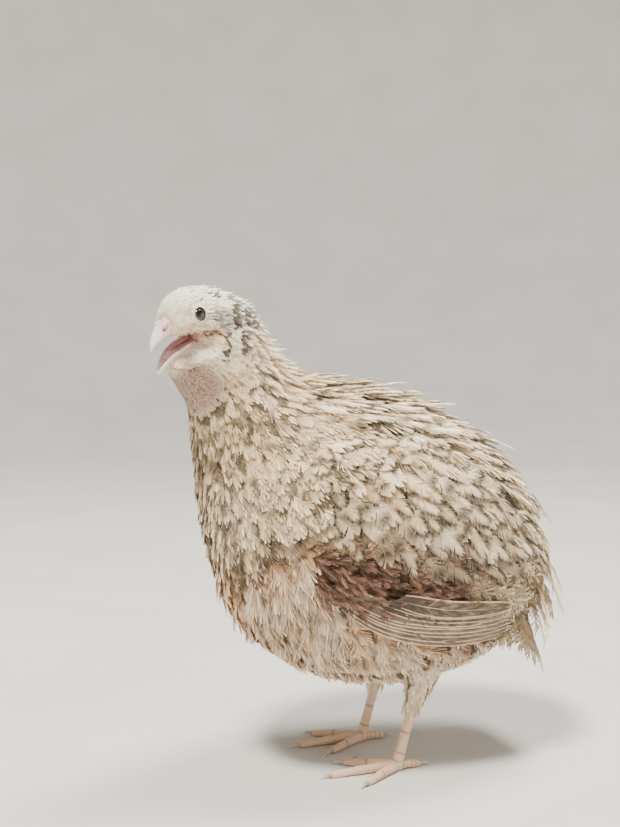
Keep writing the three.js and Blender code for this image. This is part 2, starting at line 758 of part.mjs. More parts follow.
function clawSolid(side, toe) {
  const { ahead, tip } = toeRoute(side, toe);
  const start = tip.clone().addScaledVector(ahead, CLAW.gap);
  const middle = start.clone().addScaledVector(ahead, CLAW.length * CLAW.bend);
  middle.z += CLAW.arch;
  const end = start.clone().addScaledVector(ahead, CLAW.length);
  end.z = CLAW.arch;
  return largest(tube([start, middle, end], CLAW.taper, TOE.sides).subtract(ground));
}

// Assembly
const FINISHES = {
  plumage: { color: 0xd9c9a8, roughness: 0.9 },
  flight: { color: 0x9a8a72, roughness: 0.85 },
  horn: { color: 0xe3dcd8, roughness: 0.45 },
  eye: { color: 0x2a241c, roughness: 0.1 },
  mouth: { color: 0xb0605a, roughness: 0.5 },
  skin: { color: 0xd8b79a, roughness: 0.6 },
};

const quail = new THREE.Group();

function addPiece(name, solid, finish) {
  const mesh = solid.getMesh();
  const geometry = new THREE.BufferGeometry();
  const positions = [];
  for (let i = 0; i < mesh.numVert; i++) {
    positions.push(...mesh.vertProperties.subarray(i * mesh.numProp, i * mesh.numProp + 3));
  }
  geometry.setAttribute("position", new THREE.Float32BufferAttribute(positions, 3));
  geometry.setIndex(new THREE.BufferAttribute(mesh.triVerts, 1));
  geometry.computeVertexNormals();
  const material = new THREE.MeshStandardMaterial({ ...FINISHES[finish], metalness: 0 });
  const piece = new THREE.Mesh(geometry, material);
  piece.name = name;
  quail.add(piece);
}

addPiece("head", headSolid(), "plumage");
addPiece("bill_upper", poseSolid(nostrilBill()), "horn");
addPiece("bill_lower", lowerBillSolid(), "horn");
addPiece("tongue", poseSolid(tongue()), "mouth");
addPiece("neck", neckSolid(), "plumage");
addPiece("torso", torsoSolid(), "plumage");
addPiece("tail", tailSolid(), "flight");
for (const { name, turn, y } of HANDS) {
  addPiece(`eye_${name}`, ball(eyeCentre(turn), EYE.radius), "eye");
  addPiece(`wing_${name}`, wingSolid(turn), "plumage");
  addPiece(`thigh_${name}`, thighSolid(y), "plumage");
  addPiece(`shank_${name}`, shankSolid(y), "skin");
  addPiece(`foot_${name}`, footSolid(y), "skin");
  for (const toe of TOES) {
    addPiece(`claw_${toe.name}_${name}`, clawSolid(y, toe), "horn");
  }
}

export default quail;
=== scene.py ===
"""A life-size coturnix quail: it stands with its pale plumage ruffled, its head turned and its bill open.

Lengths are in millimetres until a mesh is made. The bird faces -X, and its left side is -Y.
"""
import math

import bpy
import numpy as np
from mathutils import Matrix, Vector


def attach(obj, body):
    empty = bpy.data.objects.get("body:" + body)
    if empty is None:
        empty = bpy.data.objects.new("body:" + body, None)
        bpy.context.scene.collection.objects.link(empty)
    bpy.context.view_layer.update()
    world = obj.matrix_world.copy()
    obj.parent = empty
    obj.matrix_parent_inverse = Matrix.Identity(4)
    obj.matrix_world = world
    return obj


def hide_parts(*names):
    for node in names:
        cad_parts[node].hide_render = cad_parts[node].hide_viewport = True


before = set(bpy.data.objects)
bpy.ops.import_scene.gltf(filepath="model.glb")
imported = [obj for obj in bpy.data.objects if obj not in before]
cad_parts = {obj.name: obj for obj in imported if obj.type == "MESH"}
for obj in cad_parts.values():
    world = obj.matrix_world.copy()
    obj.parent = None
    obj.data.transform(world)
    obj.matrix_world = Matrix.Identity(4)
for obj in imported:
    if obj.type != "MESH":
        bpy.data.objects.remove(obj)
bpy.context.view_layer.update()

MM = 0.001
SEED = 20

# The photograph's view: its width in pixels, and the camera in degrees and millimetres
IMAGE_WIDTH = 620
CAMERA = {"azimuth": -20, "elevation": 3.5, "distance": 440, "pixels_per_mm": 2.7}
CAMERA_TARGET = (-16.0, 5.8, 129.8)

# The form of the plumage, as the solids have it: where each rib meets the back line (x, z) and the
# breast line (x, z), and its half width
RIBS = np.array([
    (-76.3, 163.4, -76.3, 163.2, 0),
    (-77.3, 168, -75.8, 157.6, 4.9),
    (-74.4, 172.4, -75.4, 148.4, 8.2),
    (-67.5, 175, -71.6, 143, 11),
    (-57, 174.4, -67.8, 138, 12.6),
    (-46, 169, -63.8, 131.8, 13.8),
    (-37.5, 158.5, -61.4, 123.5, 17),
    (-27, 147.5, -59.8, 111.5, 22.5),
    (-9, 141.5, -58.4, 96.5, 30),
    (11.5, 137, -55, 77.5, 36),
    (32, 128.5, -47.5, 59, 39.5),
    (50, 116, -32, 43, 40),
    (62, 101, -8, 32, 38),
    (69, 85, 20, 31, 33),
    (71, 71, 42, 37, 24),
    (69, 61, 56, 47, 12),
    (65.4, 53, 65.2, 52.8, 0),
])
LAST_RIB = len(RIBS) - 1

# How often the search for a place's rib halves its range
HALVINGS = 26

# The pose of the head, in degrees, the axes that it turns and rolls about, and the ribs where that fades out
HEAD_TURN = 18
HEAD_ROLL = 6
NECK_AXIS_X = -42
ROLL_AXIS_Z = 152
NECK_TWIST = (5, 9.5)

# The head's places, as the solids have them, before the head turns
EYE_AT = (-68.9, 166.6)
EYE_RADIUS = 3.6
EYE_PROUD = 0.55
UPPER_BILL = np.array([
    (-72.5, 166.4, -71.5, 160.6, 4.8),
    (-76, 165.3, -74.8, 159.4, 4.6),
    (-79, 162.6, -77.6, 158.1, 3.6),
    (-80.9, 159.2, -79.6, 156.6, 2.4),
    (-81.8, 155.7, -80.9, 154.8, 1.3),
    (-81.8, 152.9, -81.5, 153, 0.35),
])
LOWER_BILL = np.array([
    (-67.4, 157.3, 2.3, 5.2),
    (-70.6, 155.7, 2.8, 4.9),
    (-73.6, 153.4, 2.8, 4.2),
    (-76.2, 150.5, 2.4, 3),
    (-77.9, 147.8, 1.6, 1.7),
    (-78.6, 145.2, 0.6, 0.5),
])
MOUTH_SIDE = [(-67.2, 159), (-70, 160.1), (-76, 158.7), (-95, 156), (-95, 136), (-78.4, 146), (-76.2, 150.5),
              (-73.6, 153.4), (-67.2, 157.4)]
BILL_COVER = [(-72.5, 166), (-76.2, 164.6), (-79.2, 161.6), (-80, 156), (-76, 158.7), (-72, 160.3)]
NOSTRIL = (-78.0, 3.2, 161.6)
NOSTRIL_TILT = -38
TONGUE_ROOT = np.array([-67.9, 0, 157.9])
TONGUE_TIP = np.array([-75.9, 0, 152.6])
UPPER_LIP = ((-82, 0.8), (-79, 3.4), (-76, 4.4), (-72.5, 5.0), (-67, 5.4))
LOWER_LIP = ((-78.6, 0.3), (-77.9, 1.5), (-76.2, 2.8), (-73.6, 4.0), (-70.6, 4.7), (-67.4, 5.1))
GAPE = (-67.2, 158.2)
GAPE_RISE = 0.667
LIP_STEP = 0.9

def linear(colour):
    """A colour as it would be picked on a screen, as the renderer takes it"""
    c = np.asarray(colour, float)
    return np.where(c <= 0.04045, c / 12.92, ((c + 0.055) / 1.055) ** 2.4)


# Colours of the plumage
CREAM = linear((0.885, 0.775, 0.61))
PALE = linear((0.975, 0.905, 0.785))
FACE_WHITE = linear((1.0, 0.975, 0.90))
BUFF = linear((0.84, 0.68, 0.45))
WARM = linear((0.78, 0.54, 0.33))
OLIVE = linear((0.24, 0.185, 0.10))
BROWN = linear((0.17, 0.115, 0.07))
DUSK = linear((0.40, 0.32, 0.25))
GREY = linear((0.62, 0.57, 0.52))
EAR_GREY = linear((0.49, 0.46, 0.43))
OCHRE = linear((0.78, 0.58, 0.33))
RUST = linear((0.62, 0.38, 0.20))
BIB = linear((0.60, 0.465, 0.38))
WHITE_DOWN = linear((0.95, 0.91, 0.85))
LIP = linear((0.87, 0.71, 0.65))
SKIN_TONE = linear((0.62, 0.46, 0.37))
FLIGHT_GREY = linear((0.33, 0.265, 0.215))
FLIGHT_EDGE = linear((0.82, 0.72, 0.61))
DUSKY_DARK = linear((0.32, 0.21, 0.16))
DUSKY_LIGHT = linear((0.62, 0.45, 0.37))

# Colours of the mouth, the bill, the eyes and the legs
MOUTH_DEEP = linear((0.56, 0.36, 0.34))
MOUTH_PALE = linear((0.86, 0.67, 0.65))
BILL_ROOT = linear((0.9, 0.84, 0.8))
BILL_TIP = linear((0.9, 0.91, 0.95))
BILL_PINK = linear((0.86, 0.68, 0.64))
PALATE = linear((0.66, 0.36, 0.33))
FLAP = linear((0.88, 0.72, 0.68))
# Painted shade: the nostril's slit is a dark solid that stands for the shade in its opening
SLIT_SHADOW = linear((0.25, 0.13, 0.12))
JAW_ROOT = linear((0.88, 0.76, 0.72))
JAW_TIP = linear((0.9, 0.9, 0.94))
JAW_FLESH = linear((0.66, 0.45, 0.43))
JAW_FLESH_TIP = linear((0.9, 0.8, 0.81))
TONGUE = linear((0.7, 0.46, 0.44))
IRIS = linear((0.24, 0.21, 0.15))
PUPIL = linear((0.03, 0.03, 0.03))
EYE_RIM = linear((0.06, 0.05, 0.04))
SCUTE_GROOVE = linear((0.62, 0.46, 0.36))
SCUTE = linear((0.87, 0.74, 0.63))
CLAW_ROOT = linear((0.6, 0.5, 0.44))
CLAW_TIP = linear((0.86, 0.8, 0.72))

# The lids from the eye outwards: each ring's radius, its height over the eye's seat and its colour
LID_SECTION = [
    (2.0, 0.0, (0.16, 0.13, 0.11)),
    (2.0, 0.3, (0.30, 0.26, 0.22)),
    (2.12, 0.42, (0.62, 0.57, 0.51)),
    (2.34, 0.42, (0.80, 0.75, 0.68)),
    (2.62, 0.2, (0.84, 0.79, 0.71)),
    (3.1, -0.25, (0.84, 0.79, 0.70)),
    (3.7, -0.9, (0.74, 0.68, 0.6)),
    (2.3, -1.1, (0.3, 0.26, 0.22)),
]


def smooth(x, low, high):
    """0 up to a low value, 1 from a high one, and a soft step between"""
    s = np.clip((np.asarray(x, float) - low) / (high - low), 0, 1)
    return s * s * (3 - 2 * s)


def band(x, rise_from, rise_to, fall_from, fall_to):
    """1 between two soft edges, and 0 beyond them"""
    return smooth(x, rise_from, rise_to) * (1 - smooth(x, fall_from, fall_to))


def mix(a, b, share):
    return a + (b - a) * share


def blend(a, b, share):
    """Mixes colours or places, with a share for each of them"""
    return mix(a, b, share[..., None])


def unit(v):
    return v / np.maximum(np.linalg.norm(v, axis=-1, keepdims=True), 1e-9)


def dot(a, b):
    return (a * b).sum(-1)


# The surface of the plumage
def spline(table, s):
    """A smooth curve through the rows of a table, at places counted in rows"""
    table = np.asarray(table, float)
    s = np.clip(s, 0, len(table) - 1)
    i = np.minimum(np.floor(s).astype(int), len(table) - 2)
    w = (s - i)[..., None]
    ends = np.vstack([2 * table[0] - table[1], table, 2 * table[-1] - table[-2]])
    p0, p1, p2, p3 = ends[i], ends[i + 1], ends[i + 2], ends[i + 3]
    t0, t1 = (p2 - p0) / 2, (p3 - p1) / 2
    return p1 + t0 * w + (3 * (p2 - p1) - 2 * t0 - t1) * w**2 + (2 * (p1 - p2) + t0 + t1) * w**3


def outline_distance(x, z, outline):
    """How far a place is outside an outline, or 0 within it"""
    nearest = np.full(x.shape, 1e9)
    for (x0, z0), (x1, z1) in zip(outline, outline[1:] + outline[:1]):
        dx, dz = x1 - x0, z1 - z0
        share = np.clip(((x - x0) * dx + (z - z0) * dz) / (dx * dx + dz * dz), 0, 1)
        nearest = np.minimum(nearest, np.hypot(x - x0 - share * dx, z - z0 - share * dz))
    return np.where(inside(x, z, outline), 0, nearest)


def pinched(p):
    """Narrows the face towards the open mouth"""
    upper, lower = (np.interp(p[..., 0], *zip(*table)) for table in (UPPER_LIP, LOWER_LIP))
    away = outline_distance(p[..., 0], p[..., 2], MOUTH_SIDE)
    over_mouth = p[..., 2] > GAPE[1] + GAPE_RISE * (p[..., 0] - GAPE[0])
    ramus = LIP_STEP * smooth(-p[..., 0], -GAPE[0], -GAPE[0] + 2.5)
    limit = np.where(over_mouth, upper, lower - ramus) + 0.2
    limit = limit + 1.15 * np.maximum(away - np.where(over_mouth, 0, 2.5 * ramus), 0)
    width = np.abs(p[..., 1])
    over = np.maximum(width - limit, 0)
    narrow = p.copy()
    narrow[..., 1] = np.sign(p[..., 1]) * (width - over + 0.12 * over)
    return narrow


def straight_surface(rib, angle, grow=0.0):
    """A place on the bird before its head turns: 0 degrees is its back, and its left side is positive"""
    row = spline(RIBS, rib)
    half = np.maximum(row[..., 4], 0)
    middle = (row[..., 0:2] + row[..., 2:4]) / 2
    arm = row[..., 0:2] - middle
    reach = np.linalg.norm(arm, axis=-1)
    arm = unit(arm) * np.maximum(reach + grow, 0.01)[..., None]
    turn = np.radians(angle)
    xz = middle + arm * np.cos(turn)[..., None]
    p = np.stack([xz[..., 0], -np.maximum(half + grow, 0.01) * np.sin(turn), xz[..., 1]], -1)
    return pinched(p) if np.min(rib) < 5.5 else p


def inside(x, z, outline):
    hit = np.zeros(x.shape, bool)
    for (x0, z0), (x1, z1) in zip(outline, outline[1:] + outline[:1]):
        crosses = (z0 > z) != (z1 > z)
        hit ^= crosses & (x < (x1 - x0) * (z - z0) / (z1 - z0 + 1e-12) + x0)
    return hit


def posed(p, share=1.0):
    """The head's turn and roll, or a share of them"""
    roll = math.radians(HEAD_ROLL) * share
    turn = math.radians(HEAD_TURN) * share
    p = np.asarray(p, float)
    rise = p[..., 2] - ROLL_AXIS_Z
    y = p[..., 1] * np.cos(roll) - rise * np.sin(roll)
    z = p[..., 1] * np.sin(roll) + rise * np.cos(roll) + ROLL_AXIS_Z
    ahead = p[..., 0] - NECK_AXIS_X
    x = NECK_AXIS_X + ahead * np.cos(turn) - y * np.sin(turn)
    return np.stack([x, ahead * np.sin(turn) + y * np.cos(turn), z], -1)


def surface(rib, angle, grow=0.0):
    """A place on the bird in its pose, grown outwards by some millimetres"""
    rib, angle, grow = np.broadcast_arrays(*(np.asarray(v, float) for v in (rib, angle, grow)))
    return posed(straight_surface(rib, angle, grow), 1 - smooth(rib, *NECK_TWIST))


def slopes(rib, angle):
    """How the surface moves for each rib and for each degree, and the way that it faces"""
    per_rib = (surface(rib + 0.05, angle) - surface(rib - 0.05, angle)) / 0.1
    per_degree = (surface(rib, angle + 1) - surface(rib, angle - 1)) / 2
    return per_rib, per_degree, unit(np.cross(per_degree, per_rib))


def rib_line(rib):
    """Where a rib's line starts on the back (x, z), and how far it runs from there to the breast line"""
    row = spline(RIBS, rib)
    return row[..., 0], row[..., 1], row[..., 2] - row[..., 0], row[..., 3] - row[..., 1]


def place_at(x, z):
    """The rib and the angle where the side of the bird passes a place, seen from its left"""
    x, z = np.asarray(x, float), np.asarray(z, float)
    low, high = np.full(x.shape, 0.5), np.full(x.shape, LAST_RIB - 0.1)
    for _ in range(HALVINGS):
        rib = (low + high) / 2
        back_x, back_z, run, fall = rib_line(rib)
        behind = run * (z - back_z) - fall * (x - back_x) > 0
        low, high = np.where(behind, rib, low), np.where(behind, high, rib)
    down = np.hypot(x - back_x, z - back_z) / np.hypot(run, fall)
    return rib, np.degrees(np.arccos(np.clip(1 - 2 * down, -1, 1)))


# Meshes
def make_mesh(name, points, faces, material, slot, colours=None, vane=None, uv=None):
    points = np.asarray(points, np.float32) * MM
    faces = np.asarray(faces, np.int32)
    mesh = bpy.data.meshes.new(name)
    mesh.vertices.add(len(points))
    mesh.vertices.foreach_set("co", points.ravel())
    mesh.loops.add(faces.size)
    mesh.loops.foreach_set("vertex_index", faces.ravel())
    mesh.polygons.add(len(faces))
    mesh.polygons.foreach_set("loop_start", np.arange(0, faces.size, faces.shape[1], dtype=np.int32))
    if colours is not None:
        layer = mesh.color_attributes.new(name="tint", type="FLOAT_COLOR", domain="POINT")
        rgba = np.ones((len(points), 4), np.float32)
        rgba[:, :3] = np.clip(colours, 0, 1)
        layer.data.foreach_set("color", rgba.ravel())
    if vane is not None:
        layer = mesh.attributes.new("vane", "FLOAT_VECTOR", "POINT")
        layer.data.foreach_set("vector", np.asarray(vane, np.float32).ravel())
    if uv is not None:
        layer = mesh.uv_layers.new(name="OFBake")
        layer.data.foreach_set("uv", np.asarray(uv, np.float32)[faces.ravel()].ravel())
    mesh.update(calc_edges=True)
    mesh.shade_smooth()
    mesh.materials.append(material)
    piece = bpy.data.objects.new(name, mesh)
    bpy.context.scene.collection.objects.link(piece)
    if slot:
        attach(piece, "root")
    return piece


def grid_faces(rows, columns, closed=True, first=0):
    i, j = np.meshgrid(np.arange(rows - 1), np.arange(columns if closed else columns - 1), indexing="ij")
    a = first + i * columns + j
    b = first + i * columns + (j + 1) % columns
    quads = np.stack([a, b, b + columns, a + columns], -1).reshape(-1, 4)
    return np.concatenate([quads[:, [0, 1, 2]], quads[:, [0, 2, 3]]])


def loft(rings):
    """Rings of points (rows, sides, 3) as a closed form with fans at its ends"""
    rings = np.asarray(rings, float)
    rows, sides = rings.shape[:2]
    points = np.concatenate([rings.reshape(-1, 3), rings[0].mean(0)[None], rings[-1].mean(0)[None]])
    j = np.arange(sides)
    start, end = rows * sides, rows * sides + 1
    first = np.stack([np.full(sides, start), (j + 1) % sides, j], -1)
    last = np.stack([np.full(sides, end), (rows - 1) * sides + j, (rows - 1) * sides + (j + 1) % sides], -1)
    faces = np.concatenate([grid_faces(rows, sides), first, last])
    corner = points[faces]
    volume = dot(corner[:, 0], np.cross(corner[:, 1], corner[:, 2])).sum()
    return points, faces if volume > 0 else faces[:, ::-1]


def with_ends(colour):
    """The colours of rings of points, and of the two points that close the form"""
    return np.concatenate([colour.reshape(-1, 3), colour[0, :1], colour[-1, :1]])


def piece_of(name, rings, colour, material, slot, *replaced):
    """A closed piece of rings of points, with a colour for all or for each point of the rings"""
    points, faces = loft(rings)
    colours = np.broadcast_to(colour, points.shape) if np.ndim(colour) == 1 else with_ends(colour)
    piece = make_mesh(name, points, faces, material, slot, colours)
    if replaced:
        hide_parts(*replaced)
    return piece


def circle(sides):
    """The angles of a ring's points"""
    return 2 * np.pi * np.arange(sides) / sides


# Materials
def set_inputs(made, values):
    for key, value in values.items():
        made.inputs[key].default_value = value


def new_material(name, values):
    material = bpy.data.materials.new(name)
    material.use_nodes = True
    shader = material.node_tree.nodes["Principled BSDF"]
    set_inputs(shader, values)
    return material, material.node_tree, shader


def node(tree, kind, values=(), **settings):
    made = tree.nodes.new(kind)
    for key, value in settings.items():
        setattr(made, key, value)
    set_inputs(made, dict(values))
    return made


def maths(tree, operation, a, b=None):
    made = node(tree, "ShaderNodeMath", operation=operation)
    for socket, value in zip(made.inputs, (a, b)):
        if value is None:
            continue
        if isinstance(value, (int, float)):
            socket.default_value = value
        else:
            tree.links.new(value, socket)
    return made.outputs[0]


def tint_times(tree, factor):
    """The painted tint, lighter and darker by a factor"""
    tint = node(tree, "ShaderNodeAttribute", attribute_name="tint")
    scaled = node(tree, "ShaderNodeVectorMath", operation="SCALE")
    tree.links.new(tint.outputs["Color"], scaled.inputs[0])
    tree.links.new(factor, scaled.inputs["Scale"])
    return scaled.outputs[0]


def noise(tree, scale, detail, low, high):
    """A soft grain that stays between two factors"""
    place = node(tree, "ShaderNodeTexCoord")
    made = node(tree, "ShaderNodeTexNoise", {"Scale": scale, "Detail": detail})
    tree.links.new(place.outputs["Object"], made.inputs["Vector"])
    limits = {"From Min": 0.3, "From Max": 0.7, "To Min": low, "To Max": high}
    ranged = node(tree, "ShaderNodeMapRange", limits)
    tree.links.new(made.outputs[0], ranged.inputs["Value"])
    return ranged.outputs[0]


def bump(tree, shader, height, strength, distance):
    made = node(tree, "ShaderNodeBump", {"Strength": strength, "Distance": distance})
    tree.links.new(height, made.inputs["Height"])
    tree.links.new(made.outputs[0], shader.inputs["Normal"])


# How far red, green and blue light go into horn and skin, in metres
FLESH_REACH = (0.0012, 0.0005, 0.0003)


def plumage_material(name, barb_width, roughness):
    """Feathers: the painted tint with fine barbs that slant off the shaft"""
    material, tree, shader = new_material(name, {"Roughness": roughness, "Specular IOR Level": 0.25,
                                                 "Sheen Weight": 0.12, "Sheen Roughness": 0.5})
    vane = node(tree, "ShaderNodeAttribute", attribute_name="vane")
    parts = node(tree, "ShaderNodeSeparateXYZ")
    tree.links.new(vane.outputs["Vector"], parts.inputs[0])
    across = maths(tree, "ABSOLUTE", parts.outputs[0])
    along = maths(tree, "SUBTRACT", parts.outputs[1], maths(tree, "MULTIPLY", across, 1.1))
    wave = maths(tree, "SINE", maths(tree, "MULTIPLY", along, 2 * math.pi / barb_width))
    barbs = maths(tree, "ADD", maths(tree, "MULTIPLY", wave, 0.07), 1.0)
    factor = maths(tree, "MULTIPLY", barbs, noise(tree, 600, 4, 0.9, 1.08))
    tree.links.new(tint_times(tree, factor), shader.inputs["Base Color"])
    bump(tree, shader, wave, 0.35, 0.0001)
    return material


def tinted_material(name, roughness, grain, spread, relief, coat=0.0, specular=0.5, subsurface=0.0):
    """Skin and horn: the painted tint with a fine grain in its colour and its relief"""
    values = {"Roughness": roughness, "Coat Weight": coat, "Specular IOR Level": specular}
    if subsurface:
        values |= {"Subsurface Weight": subsurface, "Subsurface Radius": FLESH_REACH, "Subsurface Scale": 1.0}
    material, tree, shader = new_material(name, values)
    grains = noise(tree, grain, 4, 1 - spread, 1 + spread)
    tree.links.new(tint_times(tree, grains), shader.inputs["Base Color"])
    bump(tree, shader, grains, relief, 0.0002)
    return material


FEATHER = plumage_material("feather", 0.55, 0.78)
FLIGHT = plumage_material("flight_feather", 0.7, 0.62)
DOWN = plumage_material("down", 0.4, 0.9)
SKIN = tinted_material("bird_skin", 0.7, 900, 0.14, 0.5)
HORN = tinted_material("horn", 0.36, 1400, 0.05, 0.12, coat=0.2, subsurface=0.15)
CLAW = tinted_material("claw_horn", 0.45, 1800, 0.12, 0.25)
MOUTH = tinted_material("mouth", 0.3, 1200, 0.12, 0.3, coat=0.5)
LEG = tinted_material("leg_skin", 0.5, 1500, 0.1, 0.35, subsurface=0.1)
EYE = tinted_material("eye", 0.08, 2500, 0.25, 0.0, coat=1.0, specular=0.6)


# Feathers
SHAFT_STEPS = 6


def template(bundles, stops=(0.5,), shaft=True, start=0.06, slant=0.2, shaft_width=0.05, gap=0.12,
             fringe=0.2):
    """One flat feather: a shaft strip, and on each side so many bundles of barbs that end in points.

    Each vertex has its share along the feather and across it, the share where its bundle's tip ends,
    its bundle's number (0 for the shaft) and which edge of the bundle it is on.
    """
    rows, faces = [], []
    if shaft:
        for i in range(SHAFT_STEPS + 1):
            for j in (-1, 0, 1):
                width = j * shaft_width * (1 - 0.75 * i / SHAFT_STEPS)
                rows.append((i / SHAFT_STEPS * 0.97, width, -1, 0, 0))
        faces += grid_faces(SHAFT_STEPS + 1, 3, closed=False).tolist()
    number = 0
    cuts = np.linspace(start, 0.985 - slant, bundles + 1)
    across = [0, *(stop * (1 - fringe) for stop in stops), 1 - fringe]
    segments = len(across) - 1
    for side in (-1, 1):
        for a, b in zip(cuts[:-1], cuts[1:]):
            number += 1
            first = len(rows)
            for u in across:
                slack = gap * (b - a) * u * 0.5
                rows.append((a + slant * u + slack, side * u, a + slant, number, 1))
                rows.append((b + slant * u - slack, side * u, b + slant, number, -1))
            rows.append(((a + b) / 2 + slant, side, (a + b) / 2 + slant, number, 0))
            for k in range(segments + 1):
                p = first + 2 * k
                strip = [(p, p + 2, p + 3), (p, p + 3, p + 1)] if k < segments else [(p, p + 2, p + 1)]
                faces += strip if side > 0 else [f[::-1] for f in strip]
    table = np.array(rows, float)
    along, across, root, bundle, edge = table.T
    return {
        "along": along, "across": across, "root": np.where(root < 0, along, root), "edge": edge,
        "bundle": bundle.astype(int), "bundles": number + 1, "faces": np.array(faces),
    }


# The kinds of feather, from the face's tufts to the flight feathers and the loose fluff
TUFT = template(6, (), shaft=False, slant=0.32, gap=0.03, fringe=0.3)
SMALL = template(8, (), shaft=False, slant=0.28, gap=0.05, fringe=0.24)
BODY = template(14, slant=0.24, gap=0.05, fringe=0.16, shaft_width=0.035)
LARGE = template(24, (0.4, 0.75), slant=0.17, gap=0.0, fringe=0.1, shaft_width=0.03)
STREAKY = template(12, (0.35, 0.7), fringe=0.22)
LONG = template(16, (0.35, 0.7), slant=0.14, gap=0.3, fringe=0.28, shaft_width=0.06)
VANE = template(36, (0.5, 0.78, 0.92), slant=0.07, gap=0.0, fringe=0.015, shaft_width=0.05)
FLUFF = template(13, slant=0.3, gap=0.35, start=0.03, fringe=0.3, shaft_width=0.03)


def lie(rib, angle, length, sag, stray):
    """The ribs and degrees that a feather of that length spans: tailward, sagging down, and strayed"""
    per_rib, per_degree, face = slopes(rib, angle)
    down = np.array([0.0, 0.0, -1.0])
    down = down - face * dot(face, down)[..., None]
    want = unit(unit(per_rib) * (1 - sag)[..., None] + down * sag[..., None])
    want = unit(want + np.cross(face, want) * np.tan(np.radians(stray))[..., None])
    a, b, c = dot(per_rib, per_rib), dot(per_rib, per_degree), dot(per_degree, per_degree)
    p, q = dot(want, per_rib), dot(want, per_degree)
    spread = np.maximum(a * c - b * b, 1e-6)
    return (p * c - q * b) / spread * length, (q * a - p * b) / spread * length


# Limits of a feather's path: the ribs and the turn at its middle, and on all of it
MIDDLE_RIBS = (0.2, 15.8)
MIDDLE_TURN = (-40, 40)
PATH_RIBS = (0.1, 15.9)
PATH_TURN = (-80, 80)


def part_way(flock, share):
    """The rib and angle under a share of each feather that lies along the body"""
    ribs, degrees = lie(flock["rib"], flock["angle"], share * flock["length"], flock["sag"], flock["stray"])
    return np.clip(flock["rib"] + ribs, *MIDDLE_RIBS), flock["angle"] + np.clip(degrees, *MIDDLE_TURN)


def follow(flock, rows=7):
    """The paths of feathers that lie along the body and rise off it towards their tips, and their normals"""
    rib, angle = flock["rib"], flock["angle"]
    ribs, degrees = lie(*part_way(flock, 0.5), flock["length"], flock["sag"], flock["stray"])
    share = np.linspace(0, 1, rows)[None]
    along = np.clip(rib[:, None] + ribs[:, None] * share, *PATH_RIBS)
    around = angle[:, None] + np.clip(degrees, *PATH_TURN)[:, None] * share
    height = mix(flock["low"][:, None], flock["high"][:, None], share ** flock["power"][:, None])
    path = surface(along, around, height)
    path[..., 2] -= flock["droop"][:, None] * share**2
    return path, slopes(along, around)[2]


# Where along a feather its visible part is
SEEN = 0.8

# Hanging feathers: steps along each, rows kept, and from which x and to what share they are squeezed together
HANG_STEPS = 40
HANG_ROWS = 9
REAR_SOFT = 73
REAR_SQUEEZE = 0.62


def hang(flock):
    """The paths of feathers that leave the body and bend towards the floor, and their normals"""
    share = (np.arange(HANG_STEPS) + 0.5) / HANG_STEPS
    pitch = np.radians(flock["pitch"][:, None] - flock["bend"][:, None] * share[None])
    spread = np.radians(flock["spread"])[:, None]
    sideways = np.sin(spread) + 0 * pitch
    heading = np.stack([np.cos(pitch) * np.cos(spread), sideways, np.sin(pitch) * np.cos(spread)], -1)
    steps = heading * (flock["length"] / HANG_STEPS)[:, None, None]
    points = np.concatenate([np.zeros((len(steps), 1, 3)), np.cumsum(steps, 1)], 1)
    points += surface(flock["rib"], flock["angle"], flock["low"])[:, None]
    points[..., 0] -= (1 - REAR_SQUEEZE) * np.maximum(points[..., 0] - REAR_SOFT, 0)
    kept = np.linspace(0, HANG_STEPS, HANG_ROWS).round().astype(int)
    face = np.stack([-np.sin(pitch), 0.6 * sideways, np.cos(pitch)], -1)
    return points[:, kept], unit(face[:, np.minimum(kept, HANG_STEPS - 1)])


